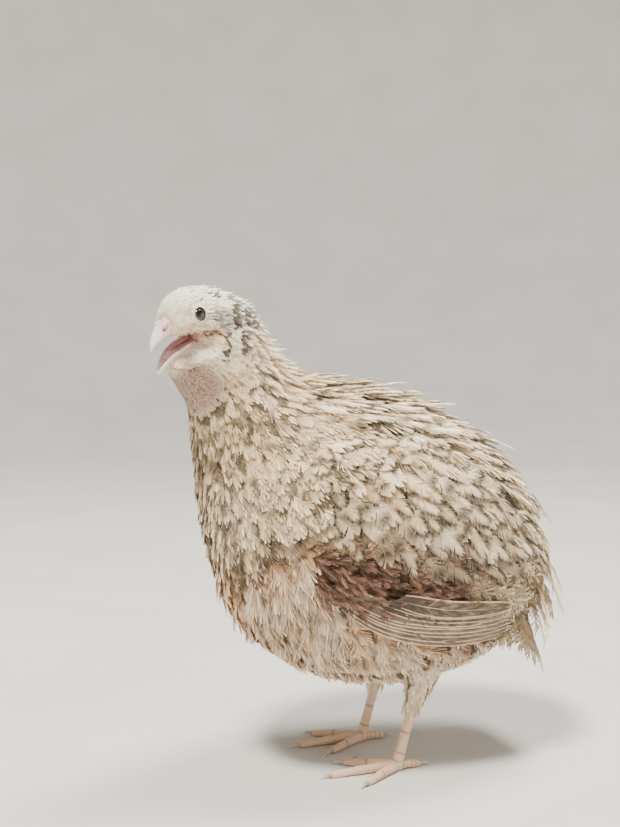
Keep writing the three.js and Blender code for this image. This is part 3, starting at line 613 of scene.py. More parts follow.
def grow_feathers(shape, path, face, flock, rng, frizz=0.06, ragged=0.12, cup=0.12, tilt=0.05, slip=0.5):
    """Lays a copy of the template along each path.

    Frizz lifts its bundles, ragged varies their reach, cup bends the vane, tilt turns each bundle like
    a slat and slip shifts it along the shaft.
    """
    count, rows = path.shape[:2]
    vertices = len(shape["along"])
    outer = np.abs(shape["across"])
    bundle = shape["bundle"]
    spread = (count, shape["bundles"])
    barbs = np.arange(shape["bundles"]) > 0
    torn = (rng.random(spread) < flock["torn"][:, None]) & barbs
    reach = 1 + ragged * rng.normal(size=spread) * barbs
    reach = np.where(torn, reach * 0.75, reach)
    shift = (slip / shape["bundles"] * rng.normal(size=spread) + 0.04 * torn) * barbs
    raised = frizz * rng.normal(size=spread) * barbs
    grain = rng.normal(size=spread)
    along = shape["along"][None] + shift[:, bundle] * outer[None]
    place = np.clip(along, 0, 1.04) * (rows - 1)
    low = np.clip(np.floor(place).astype(int), 0, rows - 2)
    part = (place - low)[..., None]
    index = np.arange(count)[:, None]
    tangent = unit(np.gradient(path, axis=1))
    side = unit(np.cross(tangent, face))
    lift = unit(np.cross(side, tangent))
    at = mix(path[index, low], path[index, low + 1], part)
    side = mix(side[index, low], side[index, low + 1], part)
    lift = mix(lift[index, low], lift[index, low + 1], part)
    root = np.clip(shape["root"], 0, 1)[None]
    swell = mix(0.62, 1.0, smooth(root, 0, 0.35))
    outline = swell * np.sqrt(np.maximum(1 - root ** blend(1.3, 5.0, flock["blunt"]), 0.02))
    half = flock["width"][:, None] / 2
    across = shape["across"][None] * outline * half * reach[:, bundle]
    rise = half * (raised[:, bundle] * outer + tilt * shape["edge"] * (0.4 + outer) - cup * outer**2)
    rise = rise + 0.02 * half * (bundle == 0) * (2 + 0 * rise)
    points = at + side * across[..., None] + lift * rise[..., None]
    faces = shape["faces"][None] + (np.arange(count) * vertices)[:, None, None]
    grain = grain[:, bundle] * (bundle > 0)
    return {
        "points": points.reshape(-1, 3), "faces": faces.reshape(-1, 3), "along": np.clip(along, 0, 1),
        "across": np.broadcast_to(shape["across"][None], along.shape), "across_mm": across, "grain": grain,
        "lateral": outer[None] * outline, "shaft": np.broadcast_to((bundle == 0)[None], along.shape),
    }


def paint(look, laid):
    """The tint of each vertex, from its feather's look and its own place on the feather"""
    t, u, side, grain = laid["along"], np.abs(laid["across"]), laid["lateral"], laid["grain"]

    def each(key):
        value = look[key]
        return value[:, None, :] if value.ndim == 2 else value[:, None]

    colour = blend(each("base"), each("tip"), smooth(t, 0.55, 0.95))
    colour = blend(each("down"), colour, smooth(t, 0.1, 0.5))
    wave = np.sin(2 * np.pi * (each("bands") * (t + 0.1 * side) + each("phase")))
    bars = smooth(wave, 0.0, 0.6) * each("bars") * smooth(t, 0.2, 0.4)
    spot = np.exp(-(((t - each("spot_at")) / 0.15) ** 2) - (side / 0.8) ** 2) * each("spot")
    streak = smooth(side, each("core"), each("core") + 0.22) * smooth(t, 0.1, 0.35) * each("streak")
    streak = streak * (1 - 0.6 * smooth(t, 0.85, 1.0))
    border = smooth(u, 0.3, 0.58) * (1 - 0.6 * smooth(u, 0.86, 1.0)) * smooth(t, 0.45, 0.65) * each("rim")
    dark = np.maximum.reduce([bars, spot, streak, border]) * (1 + 0.15 * grain)
    colour = blend(colour, each("mark"), np.clip(dark, 0, 1))
    margin = smooth(u, 0.8, 0.88) * smooth(t, 0.05, 0.2) * each("margin")
    colour = blend(colour, each("edge"), margin)
    quill = laid["shaft"] * each("quill") * smooth(t, 0.1, 0.3)
    colour = blend(colour, PALE, quill)
    colour = colour * (1 + 0.11 * grain[..., None]) * each("light")[..., None]
    return colour.reshape(-1, 3)


# A plain feather: its colours, then how strong its marks are and where they lie along it and across it
COLOUR_KEYS = ("base", "tip", "down", "mark", "edge")
PLAIN_LOOK = {
    "base": CREAM, "tip": PALE, "down": DUSK, "mark": OLIVE, "edge": PALE, "bars": 0, "bands": 3, "phase": 0,
    "spot": 0, "spot_at": 0.75, "streak": 0, "core": 0.3, "rim": 0, "margin": 0, "quill": 0.6, "light": 1,
}


def new_look(count, **given):
    """Looks for so many feathers: the plain one, but for what is given for all or for each"""
    look = PLAIN_LOOK | given
    shapes = {key: (count, 3) if key in COLOUR_KEYS else (count,) for key in look}
    return {key: np.broadcast_to(np.asarray(value, float), shapes[key]) for key, value in look.items()}


# The UV map: cells across it, and a feather's patch and the margin before it, as shares of the map
PATCH_CELLS = 300
PATCH_SIZE = 0.003
PATCH_MARGIN = 0.0002


def patches(rib, angle):
    """A square of its own for each feather, at its root's place on the unwrapped skin"""
    last = PATCH_CELLS - 1
    u = np.floor((np.mod(angle + 180, 360) / 360) * last).astype(int)
    v = np.floor(rib / LAST_RIB * last).astype(int)
    taken = set()
    found = np.zeros((len(rib), 2))
    for k in range(len(rib)):
        a, b, ring = int(u[k]), int(v[k]), 0
        while (a, b) in taken:
            ring += 1
            turn = 2.4 * ring
            a = int(np.clip(u[k] + 0.6 * math.sqrt(ring) * math.cos(turn), 0, last))
            b = int(np.clip(v[k] + 0.6 * math.sqrt(ring) * math.sin(turn), 0, last))
        taken.add((a, b))
        found[k] = a, b
    return found / PATCH_CELLS


def feather_piece(name, shape, paths, flock, look, rng, material=FEATHER, slot="plumage", **style):
    """One piece of the coat, with a feather on each path"""
    path, face = paths
    laid = grow_feathers(shape, path, face, flock, rng, **style)
    length = flock["length"][:, None]
    vane = np.stack([laid["across_mm"], laid["along"] * length, laid["grain"]], -1).reshape(-1, 3)
    corner = patches(flock["rib"], flock["angle"])
    spread = np.stack([0.5 + 0.48 * laid["across"], laid["along"]], -1) * PATCH_SIZE
    uv = (corner[:, None] + PATCH_MARGIN + spread).reshape(-1, 2)
    return make_mesh(name, laid["points"], laid["faces"], material, slot, paint(look, laid), vane, uv)


def pick(values, keep):
    return {key: value[keep] for key, value in values.items()}


# Where feathers grow
def by_rib(rib, table):
    return np.interp(rib, *zip(*table))


# Tables of a length in millimetres at some ribs: feather lengths, how high tips stand and how deep roots lie
BACK_LENGTH = [(0.5, 1.2), (1.5, 1.6), (2.5, 2.3), (3.5, 3.4), (4.5, 5), (5.5, 7), (7, 9.5), (8, 12), (9, 14),
               (11, 16), (13, 17)]
FRONT_LENGTH = [(0.5, 1.0), (2, 1.5), (3, 2.0), (4.5, 3.4), (6, 5.8), (7, 7.5), (9, 10), (11, 13), (13, 13),
                (15.5, 10)]
BACK_LIFT = [(1, 0.3), (3, 0.5), (4, 1.2), (5, 2.0), (6, 2.2), (7, 1.8), (8, 3.0), (9, 4.0), (11, 4.4),
             (13, 4.6)]
FRONT_LIFT = [(1, 0.1), (4, 0.1), (5, 0.3), (7, 0.6), (9, 0.9), (11, 1.4), (14, 1.6)]
ROOT_DEPTH = [(0.5, 0.5), (3, 0.7), (5, 1.3), (7, 2.2), (9, 2.8), (14, 3), (16, 1.5)]
SKIN_DEPTH = [(0, 0.5), (3, 0.7), (5, 1.4), (7, 2.4), (9, 3), (14, 3), (16, 1)]


def length_at(rib, angle):
    """How long feathers are at a place"""
    under = smooth(np.abs(angle), 40, 130)
    return mix(by_rib(rib, BACK_LENGTH), by_rib(rib, FRONT_LENGTH), under)


def lift_at(rib, angle):
    """How far feather tips stand off the solids' form at a place"""
    under = smooth(np.abs(angle), 30, 100)
    return mix(by_rib(rib, BACK_LIFT), by_rib(rib, FRONT_LIFT), under)


# A cell on the surface that is larger than this share of them counts as the largest
LARGEST_CELL = 0.995


def scatter(rng, tries, ribs, spacing):
    """Roots spread evenly over the plumage, each clear of the others by the spacing at its place"""
    rib = rng.uniform(*ribs, tries)
    angle = rng.uniform(-180, 180, tries)
    per_rib, per_degree, _ = slopes(rib, angle)
    gap = spacing(rib, angle)
    chance = np.linalg.norm(np.cross(per_rib, per_degree), axis=-1) / gap**2
    keep = rng.random(tries) < chance / np.quantile(chance, LARGEST_CELL)
    rib, angle, gap = rib[keep], angle[keep], gap[keep]
    points = surface(rib, angle)
    cell = gap.max()
    cells = np.floor(points / cell).astype(int)
    kept, chosen = {}, []
    around = [(i, j, k) for i in (-1, 0, 1) for j in (-1, 0, 1) for k in (-1, 0, 1)]
    for n in range(len(rib)):
        x, y, z = cells[n]
        p, reach = points[n], gap[n] ** 2
        near = [q for i, j, k in around for q in kept.get((x + i, y + j, z + k), ())]
        if near and min(((p - q) ** 2).sum() for q in near) < reach:
            continue
        kept.setdefault((x, y, z), []).append(p)
        chosen.append(n)
    return rib[chosen], angle[chosen]


def new_flock(rng, rib, angle, length, width, **given):
    count = len(rib)
    flock = {
        "rib": rib, "angle": angle, "length": length * (1 + 0.1 * rng.normal(size=count)),
        "width": width * (1 + 0.1 * rng.normal(size=count)), "low": -by_rib(rib, ROOT_DEPTH),
        "high": lift_at(rib, angle), "power": 1.3, "sag": 0.0, "stray": 6 * rng.normal(size=count),
        "droop": 0.0, "blunt": 0.4, "torn": 0.12,
    }
    flock.update(given)
    return {key: np.broadcast_to(np.asarray(value, float), (count,)).copy() for key, value in flock.items()}


def eye_seat(side):
    """Where an eye sits, and the way that it faces"""
    rib, angle = place_at(*EYE_AT)
    rib, angle = np.array([float(rib)]), side * np.array([float(angle)])
    return surface(rib, angle)[0], slopes(rib, angle)[2][0]


def eye_distance(points):
    seats = [eye_seat(side)[0] for side in (-1, 1)]
    return np.minimum(*(np.linalg.norm(points - seat, axis=-1) for seat in seats))


def blob(x, z, at, reach, tilt=0.0):
    """1 at a place on the head, falling to 0 beyond its reach"""
    turn = math.radians(tilt)
    dx, dz = x - at[0], z - at[1]
    p = (dx * math.cos(turn) + dz * math.sin(turn)) / reach[0]
    q = (-dx * math.sin(turn) + dz * math.cos(turn)) / reach[1]
    return 1 - smooth(np.hypot(p, q), 0.55, 1.15)


def coat_tone(rib, angle):
    """The ground colour of the plumage at a place, which skin and feathers share"""
    under = np.abs(angle)
    place = straight_surface(rib, angle)
    x, z = place[..., 0], place[..., 2]
    colour = np.broadcast_to(CREAM, rib.shape + (3,)).copy()

    def tone(share, target):
        nonlocal colour
        colour = blend(colour, target, share)

    # Where each tone lies in ribs and in degrees from the back, how strong it is, and its colour
    tone(smooth(rib, 7, 9) * (1 - smooth(under, 35, 80)) * 0.35, BUFF)
    tone(smooth(rib, 5.4, 7) * smooth(under, 95, 135) * (1 - smooth(rib, 9, 11)) * 0.35, GREY)
    tone(smooth(rib, 5.6, 6.4) * (1 - smooth(rib, 7.4, 8.6)) * smooth(under, 80, 110) * 0.25, BUFF)
    tone(smooth(rib, 8.8, 10.2) * smooth(under, 88, 112) * 0.5, WARM)
    tone(smooth(rib, 10.5, 12.5) * smooth(under, 125, 160) * 0.6, WHITE_DOWN)
    tone(smooth(rib, 12.6, 14) * smooth(under, 60, 90) * 0.6, WHITE_DOWN)
    tone(blob(x, z, (-40, 66), (16, 20), -20) * (under > 60) * 0.4, WARM)
    on_head = 1 - smooth(rib, 4.9, 5.6)
    tone((1 - smooth(rib, 5.2, 8.5)) * (1 - smooth(under, 60, 110)) * 0.75, PALE)
    tone(on_head * 0.7, PALE)
    tone(on_head * (1 - smooth(under, 30, 70)) * 0.7, FACE_WHITE)
    tone(on_head * blob(x, z, (-73, 170.5), (11, 7)) * 0.95, FACE_WHITE)
    tone(on_head * blob(x, z, (-72.6, 167.2), (3.1, 2.6)) * (under < 110) * 0.35, GREY)
    tone(on_head * blob(x, z, (-59.6, 165.0), (5.0, 4.4)) * 0.85, EAR_GREY)
    tone(blob(x, z, (-56.5, 143.5), (3.4, 4.4), 20) * (under > 60) * 0.75, OCHRE)
    tone(on_head * blob(x, z, (-64.5, 159.8), (6, 1.8), 12) * 0.55, RUST)
    tone(on_head * blob(x, z, (-61.5, 156.0), (4.0, 2.6), 12) * (under > 60) * 0.45, BUFF)
    throat = smooth(under, 100, 128) * smooth(rib, 2.2, 3.2) * (1 - smooth(rib, 4.9, 5.5))
    tone(throat * 0.92, BIB)
    tone(on_head * blob(x, z, (-66.0, 152.6), (6.5, 2.6), 14) * (under > 60) * 0.45, FACE_WHITE)
    below_lip = z < GAPE[1] + GAPE_RISE * (x - GAPE[0])
    lip = outline_distance(x, z, MOUTH_SIDE)
    tone(on_head * below_lip * (x < GAPE[0] + 3) * (1 - smooth(lip, 1.3, 2.2)) * 0.75, LIP)
    return colour


# Groups of dark feathers behind and below the eye: place (x, z), reach, tilt and how likely each feather is
SPECKLES = [
    ((-48.2, 165.5), (7.0, 4.2), -35, 0.7),
    ((-54.2, 165.6), (2.0, 5.5), -8, 0.8),
    ((-58.9, 155.6), (1.7, 7.0), -8, 0.95),
    ((-52.2, 157.5), (1.6, 4.8), -8, 0.85),
    ((-64.6, 159.9), (6.8, 1.35), 10, 0.6),
]


def speckle_at(rib, angle):
    """How likely a dark feather is at a place on the head and neck"""
    under = np.abs(angle)
    place = straight_surface(rib, angle)
    x, z = place[..., 0], place[..., 2]
    crown = smooth(rib, 2.6, 3.6) * (1 - smooth(under, 22, 45)) * (1 - smooth(rib, 4.6, 5.4)) * 0.2
    collar = smooth(under, 105, 135) * np.exp(-(((rib - 5.5) / 0.25) ** 2)) * 0.85
    groups = [blob(x, z, at, reach, tilt) * chance for at, reach, tilt, chance in SPECKLES]
    return np.clip(np.maximum.reduce([crown, collar, *groups]), 0, 0.9)


# The coat
def face_coat():
    """Tufts on the face, shortest round the eye and along the mouth"""
    rng = np.random.default_rng(SEED)
    rib, angle = scatter(rng, 220000, (0.3, 4.9), lambda r, a: mix(0.46, 0.86, smooth(r, 1.2, 4.6)))
    flat = straight_surface(rib, angle)
    x, z = flat[:, 0], flat[:, 2]
    away = eye_distance(surface(rib, angle))
    covered = inside(x, z, MOUTH_SIDE) | (inside(x, z, BILL_COVER) & (np.abs(flat[:, 1]) < 4.4)) | (x < -78.2)
    chin = (x < np.interp(z, [146, 150.5, 153.4], [-77.6, -76.0, -75.2])) & (z < 156)
    keep = ~covered & ~chin & (away > 2.3)
    rib, angle, away, x, z = rib[keep], angle[keep], away[keep], x[keep], z[keep]
    count = len(rib)
    near_eye = 1 - smooth(away, 2.6, 6.0)
    throat = smooth(np.abs(angle), 95, 125) * smooth(rib, 1.6, 3)
    length = length_at(rib, angle) * mix(1.0, 0.6, near_eye) * mix(1.0, 0.85, throat)
    lip = outline_distance(x, z, MOUTH_SIDE)
    length = length * mix(0.5, 1.0, smooth(lip, 0, 3))
    ahead_of_eye = (x < EYE_AT[0]) & (away < 5.5)
    round_eye = 34 * np.sign(z - EYE_AT[1]) * np.sign(angle)
    stray = 7 * rng.normal(size=count) + np.where(ahead_of_eye, round_eye, 0)
    high = (lift_at(rib, angle) * (1 + 0.4 * rng.normal(size=count)) + 0.05) * mix(1, 0.3, throat)
    flock = new_flock(rng, rib, angle, length, length * mix(0.52, 0.66, throat), stray=stray,
                      low=-0.35 * mix(1, 0.7, throat), high=high)
    seen = part_way(flock, 0.7)
    dark = rng.random(count) < speckle_at(*seen)
    tone = coat_tone(*seen)
    place = straight_surface(*seen)
    rust = blob(place[:, 0], place[:, 2], (-65.0, 160.0), (7, 2), 12)[:, None]
    mark = mix(BROWN, RUST, rust * 0.35)
    base = np.where(dark[:, None], mix(tone, mark, 0.92), tone)
    light = 1 + mix(0.09, 0.03, throat) * rng.normal(size=count)
    look = new_look(count, base=base, tip=blend(base, FACE_WHITE, np.where(dark, 0.06, 0.35)),
                    down=base * mix(0.85, 1.0, throat)[:, None], light=light)
    feather_piece("coat_face", TUFT, follow(flock, 5), flock, look, rng, frizz=0.05, ragged=0.06, tilt=0.02)


def neck_coat():
    """The neck's small feathers, spiky on the nape and smooth on the throat"""
    rng = np.random.default_rng(SEED + 1)
    rib, angle = scatter(rng, 60000, (4.5, 8.0), lambda r, a: mix(1.05, 2.0, smooth(r, 4.6, 7.6)))
    count = len(rib)
    under = np.abs(angle)
    length = length_at(rib, angle)
    spiky = (1 - smooth(under, 50, 95)) * (1 - smooth(rib, 7, 8))
    bib = smooth(under, 100, 125) * (1 - smooth(rib, 5.3, 5.8))
    high = lift_at(rib, angle) * (1 - 0.7 * bib) + spiky * rng.uniform(-1.2, 2.0, count)
    high = high + 0.3 * (1 - bib) * rng.normal(size=count)
    flock = new_flock(rng, rib, angle, length, length * (mix(0.52, 0.4, spiky) + 0.12 * bib), high=high,
                      blunt=mix(0.45, 0.15, spiky), torn=0.2, stray=10 * rng.normal(size=count))
    seen = part_way(flock, SEEN)
    tone = coat_tone(*seen)
    dark = rng.random(count) < speckle_at(*seen)
    draw = rng.random(count)
    chance = smooth(rib, 5.2, 5.8) * mix(0.10, 0.5, smooth(under, 50, 95))
    spotted = draw < chance
    blotched = draw < 0.36 * chance
    base = np.where(dark[:, None], mix(tone, BROWN, 0.88), tone)
    base = np.where(blotched[:, None], mix(base, BROWN, 0.62), base)
    dusky_root = mix(0.2, 0.05, spiky) * (1 - bib)
    look = new_look(count, base=base, tip=blend(base, PALE, np.where(dark | blotched, 0.12, 0.5)),
                    down=blend(base, DUSK, dusky_root), spot=np.where(spotted, 1.3, 0),
                    spot_at=rng.uniform(0.74, 0.88, count), light=1 + 0.08 * rng.normal(size=count),
                    streak=np.where(rng.random(count) < 0.06 * spiky, 0.6, 0))
    feather_piece("coat_neck", SMALL, follow(flock), flock, look, rng, frizz=0.05, ragged=0.07)


# The folded wing's edges: at each rib, the angles of its upper and its lower edge
WING_EDGES = np.array([(8.25, 74, 88), (8.8, 58, 108), (9.6, 51, 120), (10.4, 49, 117), (11.2, 49, 104),
                       (11.9, 51, 86), (12.35, 58, 68)])

# Places (x, z) that the lowest and the highest flight feather pass
PRIMARY_PLACES = [((-25, 72), (-22, 74)), ((-4, 58.5), (0, 64)), ((20, 51.5), (22, 60.5)),
                  ((54, 50), (44, 58.5))]
SECONDARY_PLACES = [((-12, 68), (-4, 70)), ((10, 61.5), (18, 64)), ((34, 57.5), (47, 61.5))]
FLIGHT_SIDE = [low for low, _ in PRIMARY_PLACES] + [high for _, high in reversed(SECONDARY_PLACES)]


def under_flights(rib, angle):
    """Whether a place lies under the flight feathers"""
    place = straight_surface(rib, angle)
    return inside(place[..., 0], place[..., 2], FLIGHT_SIDE)


def wing_edge(rib, which):
    return np.interp(rib, WING_EDGES[:, 0], WING_EDGES[:, which])


def under_wing(rib, angle, margin):
    """Whether a place lies well inside the folded wing"""
    below = np.abs(angle) > wing_edge(rib, 1) + margin
    return (rib > 8.6) & (rib < 12.1) & below & (np.abs(angle) < wing_edge(rib, 2) - margin)


def body_spacing(rib, angle):
    under = np.abs(angle)
    flank = smooth(under, 80, 105) * smooth(rib, 9.5, 11)
    return mix(1.9, 2.55, smooth(rib, 7.5, 9.5)) + 0.5 * (1 - smooth(under, 45, 65)) + 0.45 * flank


# The ribs where the breast's piece gives way to the belly's, and that to the vent's
BELLY_FROM = 9.4
VENT_FROM = 11.8


def body_coat():
    """The feathers of the back, the breast, the belly and the vent, which grow as one and make four pieces"""
    rng = np.random.default_rng(SEED + 2)
    rib, angle = scatter(rng, 90000, (7.3, 15.6), body_spacing)
    count = len(rib)
    folded = under_wing(rib, angle, 8) | under_flights(rib, angle)
    under = np.abs(angle)
    back = 1 - smooth(under, 42, 68)
    flank = smooth(under, 84, 112) * smooth(rib, 8.8, 10.2)
    vent = smooth(rib, 12.4, 13.8) * smooth(under, 60, 100)
    rear = smooth(rib, 9.8, 11) * smooth(under, 20, 35) * (1 - smooth(under, 84, 100))
    length = length_at(rib, angle)
    ruffled = (rng.random(count) < 0.3) * back
    wing_front = band(rib, 7.7, 8.4, 8.9, 9.4) * band(under, 55, 70, 105, 118)
    high = lift_at(rib, angle) + mix(0.5, 1.0, back) * rng.normal(size=count)
    high = high + 3.2 * ruffled + 2.6 * wing_front
    high = np.where(folded, np.minimum(high, 0.3), high)
    length = length * (1 + 0.25 * ruffled + 0.25 * back + 0.3 * flank)
    width = length * mix(mix(0.7, 0.55, flank), 0.38, back)
    stray = mix(9, 14, flank) * rng.normal(size=count)
    flock = new_flock(rng, rib, angle, length, width, high=high, power=1.15, blunt=mix(0.45, 0.2, back),
                      sag=0.55 * flank, stray=stray, torn=mix(0.15, 0.2, back))
    tone = coat_tone(*part_way(flock, SEEN))
    draw = rng.random(count)
    breast = smooth(under, 42, 65) * (1 - smooth(rib, 8.8, 10.6))
    spotted = draw < 0.34 * breast
    blotched = draw < 0.15 * breast
    barred = draw < back * 0.2
    streaked = (draw > 0.2) & (back > 0.5) | (rng.random(count) < 0.12 * flank)
    rusty = (rng.random(count) < 0.3 * flank * (1 - vent))[:, None]
    base = mix(tone, np.where(rusty, WARM, tone), 0.5)
    base = blend(base, PALE, 0.95 * back * rng.random(count))
    base = np.where(blotched[:, None], mix(base, BROWN, 0.62), base)
    down = blend(mix(base, DUSK, 0.45), OLIVE, 0.9 * back)
    # Painted light and shade: feathers are lighter on the back and darker on the flank and on the rear's
    # sides; the random spread added below is their own tone
    light = mix(0.97, 1.04, back) - 0.1 * flank - 0.1 * rear
    look = new_look(count, base=base, tip=blend(base, PALE, np.where(blotched, 0.12, 0.45)), down=down,
                    spot=np.where(spotted, 1.0, 0), spot_at=rng.uniform(0.76, 0.9, count),
                    bars=np.where(barred, rng.uniform(0.5, 1.0, count), 0),
                    bands=rng.uniform(2.0, 3.4, count), phase=rng.random(count),
                    streak=np.where(streaked, rng.uniform(0.7, 1.0, count), 0),
                    core=rng.uniform(0.12, 0.42, count), quill=mix(0.35, 0.8, back),
                    mark=blend(OLIVE, BROWN, rng.random(count)),
                    light=light + mix(0.1, 0.2, back) * rng.normal(size=count))
    path, face = follow(flock)
    front = back < 0.5
    groups = {
        "coat_breast": front & (rib < BELLY_FROM),
        "coat_belly": front & (rib >= BELLY_FROM) & (rib < VENT_FROM),
        "coat_vent": front & (rib >= VENT_FROM),
        "coat_back": ~front,
    }
    for number, (name, part) in enumerate(groups.items()):
        feather_piece(name, STREAKY if name == "coat_back" else BODY, (path[part], face[part]),
                      pick(flock, part), pick(look, part), np.random.default_rng(SEED + 30 + number),
                      frizz=0.06, ragged=0.06)


# The rump's tiers: rib, number of feathers, degrees that they span, length, pitch and bend in degrees
RUMP_TIERS = [(10.9, 15, 76, 25, -16, 44), (11.6, 17, 84, 28, -24, 50), (12.3, 19, 100, 30, -34, 50),
              (12.9, 19, 112, 29, -44, 44), (13.5, 17, 124, 25, -54, 34), (14.1, 13, 130, 20, -62, 26)]


def rump_coat():
    """Long loose feathers in tiers that hang over the tail"""
    rng = np.random.default_rng(SEED + 3)
    rows = []
    for rib, count, span, length, pitch, bend in RUMP_TIERS:
        for i in range(count):
            angle = (i / (count - 1) - 0.5) * span + 2.5 * rng.normal()
            rows.append((rib + 0.1 * rng.normal(), angle, length * (1 + 0.1 * rng.normal()),
                         pitch + 6 * rng.normal(), bend + 6 * rng.normal(), -angle * 0.2 + 5 * rng.normal()))
    rib, angle, length, pitch, bend, spread = np.array(rows).T
    count = len(rib)
    flock = new_flock(rng, rib, angle, length, rng.uniform(4.5, 7.5, count), low=-2.5, blunt=0.2, torn=0.25,
                      pitch=pitch, bend=bend, spread=spread)
    flock["length"] = np.minimum(flock["length"], length)
    base = blend(PALE, BUFF, rng.uniform(0, 0.4, count))
    look = new_look(count, base=base, tip=mix(base, PALE, 0.6), streak=rng.uniform(0.0, 0.75, count),
                    core=rng.uniform(0.25, 0.5, count), bars=np.where(rng.random(count) < 0.25, 0.7, 0),
                    bands=rng.uniform(3, 5, count), phase=rng.random(count),
                    mark=blend(OLIVE, BROWN, rng.random(count)), quill=0.9,
                    light=1.08 + 0.1 * rng.normal(size=count))
    feather_piece("coat_rump", LONG, hang(flock), flock, look, rng, frizz=0.1, ragged=0.16)


def tail_feathers():
    """The fan of short barred feathers under the rump's"""
    rng = np.random.default_rng(SEED + 4)
    count = 12
    share = np.linspace(-0.5, 0.5, count)
    flock = new_flock(rng, np.full(count, 15.1), share * 150, 26.5, 8.0, low=-2.5, bend=18.0,
                      pitch=-70 + 2 * rng.normal(size=count), spread=-share * 52, blunt=0.5, torn=0.1)
    flock["length"] = np.minimum(flock["length"], 27.0)
    base = mix(CREAM, BUFF, 0.6)
    look = new_look(count, base=base, down=CREAM, bars=0.6, bands=5.5, phase=rng.random(count) * 0.3,
                    mark=DUSK, quill=0.9)
    piece = feather_piece("tail_feathers", VANE, hang(flock), flock, look, rng, FLIGHT, "flight_feathers",
                          frizz=0.01, ragged=0.012, tilt=0.005)
    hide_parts("tail")


# Wings
# The coverts' tiers: rib, number of feathers, their length and their width
COVERT_TIERS = [(8.1, 7, 9, 7.5), (8.45, 9, 10, 8), (8.8, 10, 12, 8), (9.15, 11, 13, 8), (9.5, 11, 14, 8.5),
                (9.85, 11, 16, 8.5), (10.2, 11, 17, 8.5), (10.55, 10, 18, 8.5), (10.9, 10, 19, 8.5),
                (11.25, 9, 20, 8), (11.6, 7, 20, 7.5)]


def lowest_covert(rib):
    """How far down the folded wing its coverts reach, as a share of its depth"""
    return np.interp(rib, [8.1, 9.3, 10, 10.7, 11.6], [0.85, 0.78, 0.62, 0.52, 0.5])


def wing_angle(rib, across):
    rib = np.minimum(rib, 11.5)
    return mix(wing_edge(rib, 1), wing_edge(rib, 2), across)


def covert_paths(side, rng):
    rows = []
    for tier, (rib, count, length, width) in enumerate(COVERT_TIERS):
        for i in range(count):
            across = mix(0.0, float(lowest_covert(rib)), i / (count - 1)) + 0.015 * rng.normal()
            rows.append((rib + 0.07 * rng.normal(), across, length, width, tier, i % 2))
    rib, across, length, width, tier, alternate = np.array(rows).T
    flock = new_flock(rng, rib, side * wing_angle(rib, across), length, width, power=0.9,
                      low=mix(-2.4, 0.6, smooth(tier, 0, 3)),
                      high=3.0 + 0.15 * tier + 0.5 * alternate + 0.5 * rng.normal(size=len(rib)),
                      blunt=rng.uniform(0.35, 0.75, len(rib)), torn=0.05,
                      stray=side * mix(8, -34, across) + 9 * rng.normal(size=len(rib)))
    return flock, across


def wing_coverts(name, side):
    """The broad feathers over the folded wing"""
    rng = np.random.default_rng(SEED + 50 + side)
    flock, across = covert_paths(side, rng)
    count = len(across)
    warm = np.exp(-(((across - 0.45) / 0.12) ** 2)) * (rng.random(count) < 0.6)
    base = blend(PALE, CREAM, rng.uniform(0.2, 1.1, count))
    base = blend(base, WARM, 0.3 * warm)
    lowest = smooth(across / lowest_covert(flock["rib"]), 0.5, 0.95)
    base = blend(base, BUFF, 0.6 * smooth(across, 0.4, 0.7) * rng.random(count))
    base = blend(base, GREY, 0.3 * lowest * rng.random(count))
    draw = rng.random(count)
    # Painted shade: the coverts are darker towards the wing's lower edge and towards its rear; the random
    # spread added below is their own tone
    light = mix(1.0, 0.7, lowest) * mix(1.0, 0.8, smooth(flock["rib"], 9.4, 10.8))
    look = new_look(count, base=base, tip=mix(base, PALE, 0.4), down=mix(base, OLIVE, 0.85),
                    rim=np.where(draw < 0.45, 0.9, 0), streak=np.where((draw > 0.35) & (draw < 0.6), 0.85, 0),
                    core=rng.uniform(0.3, 0.55, count), bars=np.where((draw > 0.6) & (draw < 0.8), 0.85, 0),
                    bands=rng.uniform(1.6, 2.6, count), phase=rng.random(count),
                    spot=np.where(draw > 0.8, 1.0, 0), spot_at=rng.uniform(0.6, 0.85, count),
                    mark=blend(OLIVE, BROWN, rng.random(count)),
                    light=light + 0.09 * rng.normal(size=count))
    piece = feather_piece(f"wing_coverts_{name}", LARGE, follow(flock, 9), flock, look, rng, frizz=0.03,
                          ragged=0.03, tilt=0.006, slip=0.3)
    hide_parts(f"wing_{name}")


def side_paths(side, places, count, heights, rows=12):
    """Paths over one side of the bird between a lowest and a highest row of places"""
    share = np.linspace(0, 1, count)
    low = np.array([a for a, _ in places], float)
    high = np.array([b for _, b in places], float)
    along = np.linspace(0, len(places) - 1, rows)
    line = mix(spline(low, along)[None], spline(high, along)[None], share[:, None, None])
    rib, angle = place_at(line[..., 0], line[..., 1])
    angle = side * angle
    return surface(rib, angle, heights[:, None]), slopes(rib, angle)[2], rib[:, 0], angle[:, 0]


# The flight feathers: their places, number and width, the lowest one's height off the body, the step to the
# next one, and how light they are
FLIGHT_GROUPS = [
    ("primaries", PRIMARY_PLACES, 6, 6.2, 0.9, 0.35, 1.0),
    ("secondaries", SECONDARY_PLACES, 4, 6.0, 2.6, 0.3, 0.62),
]


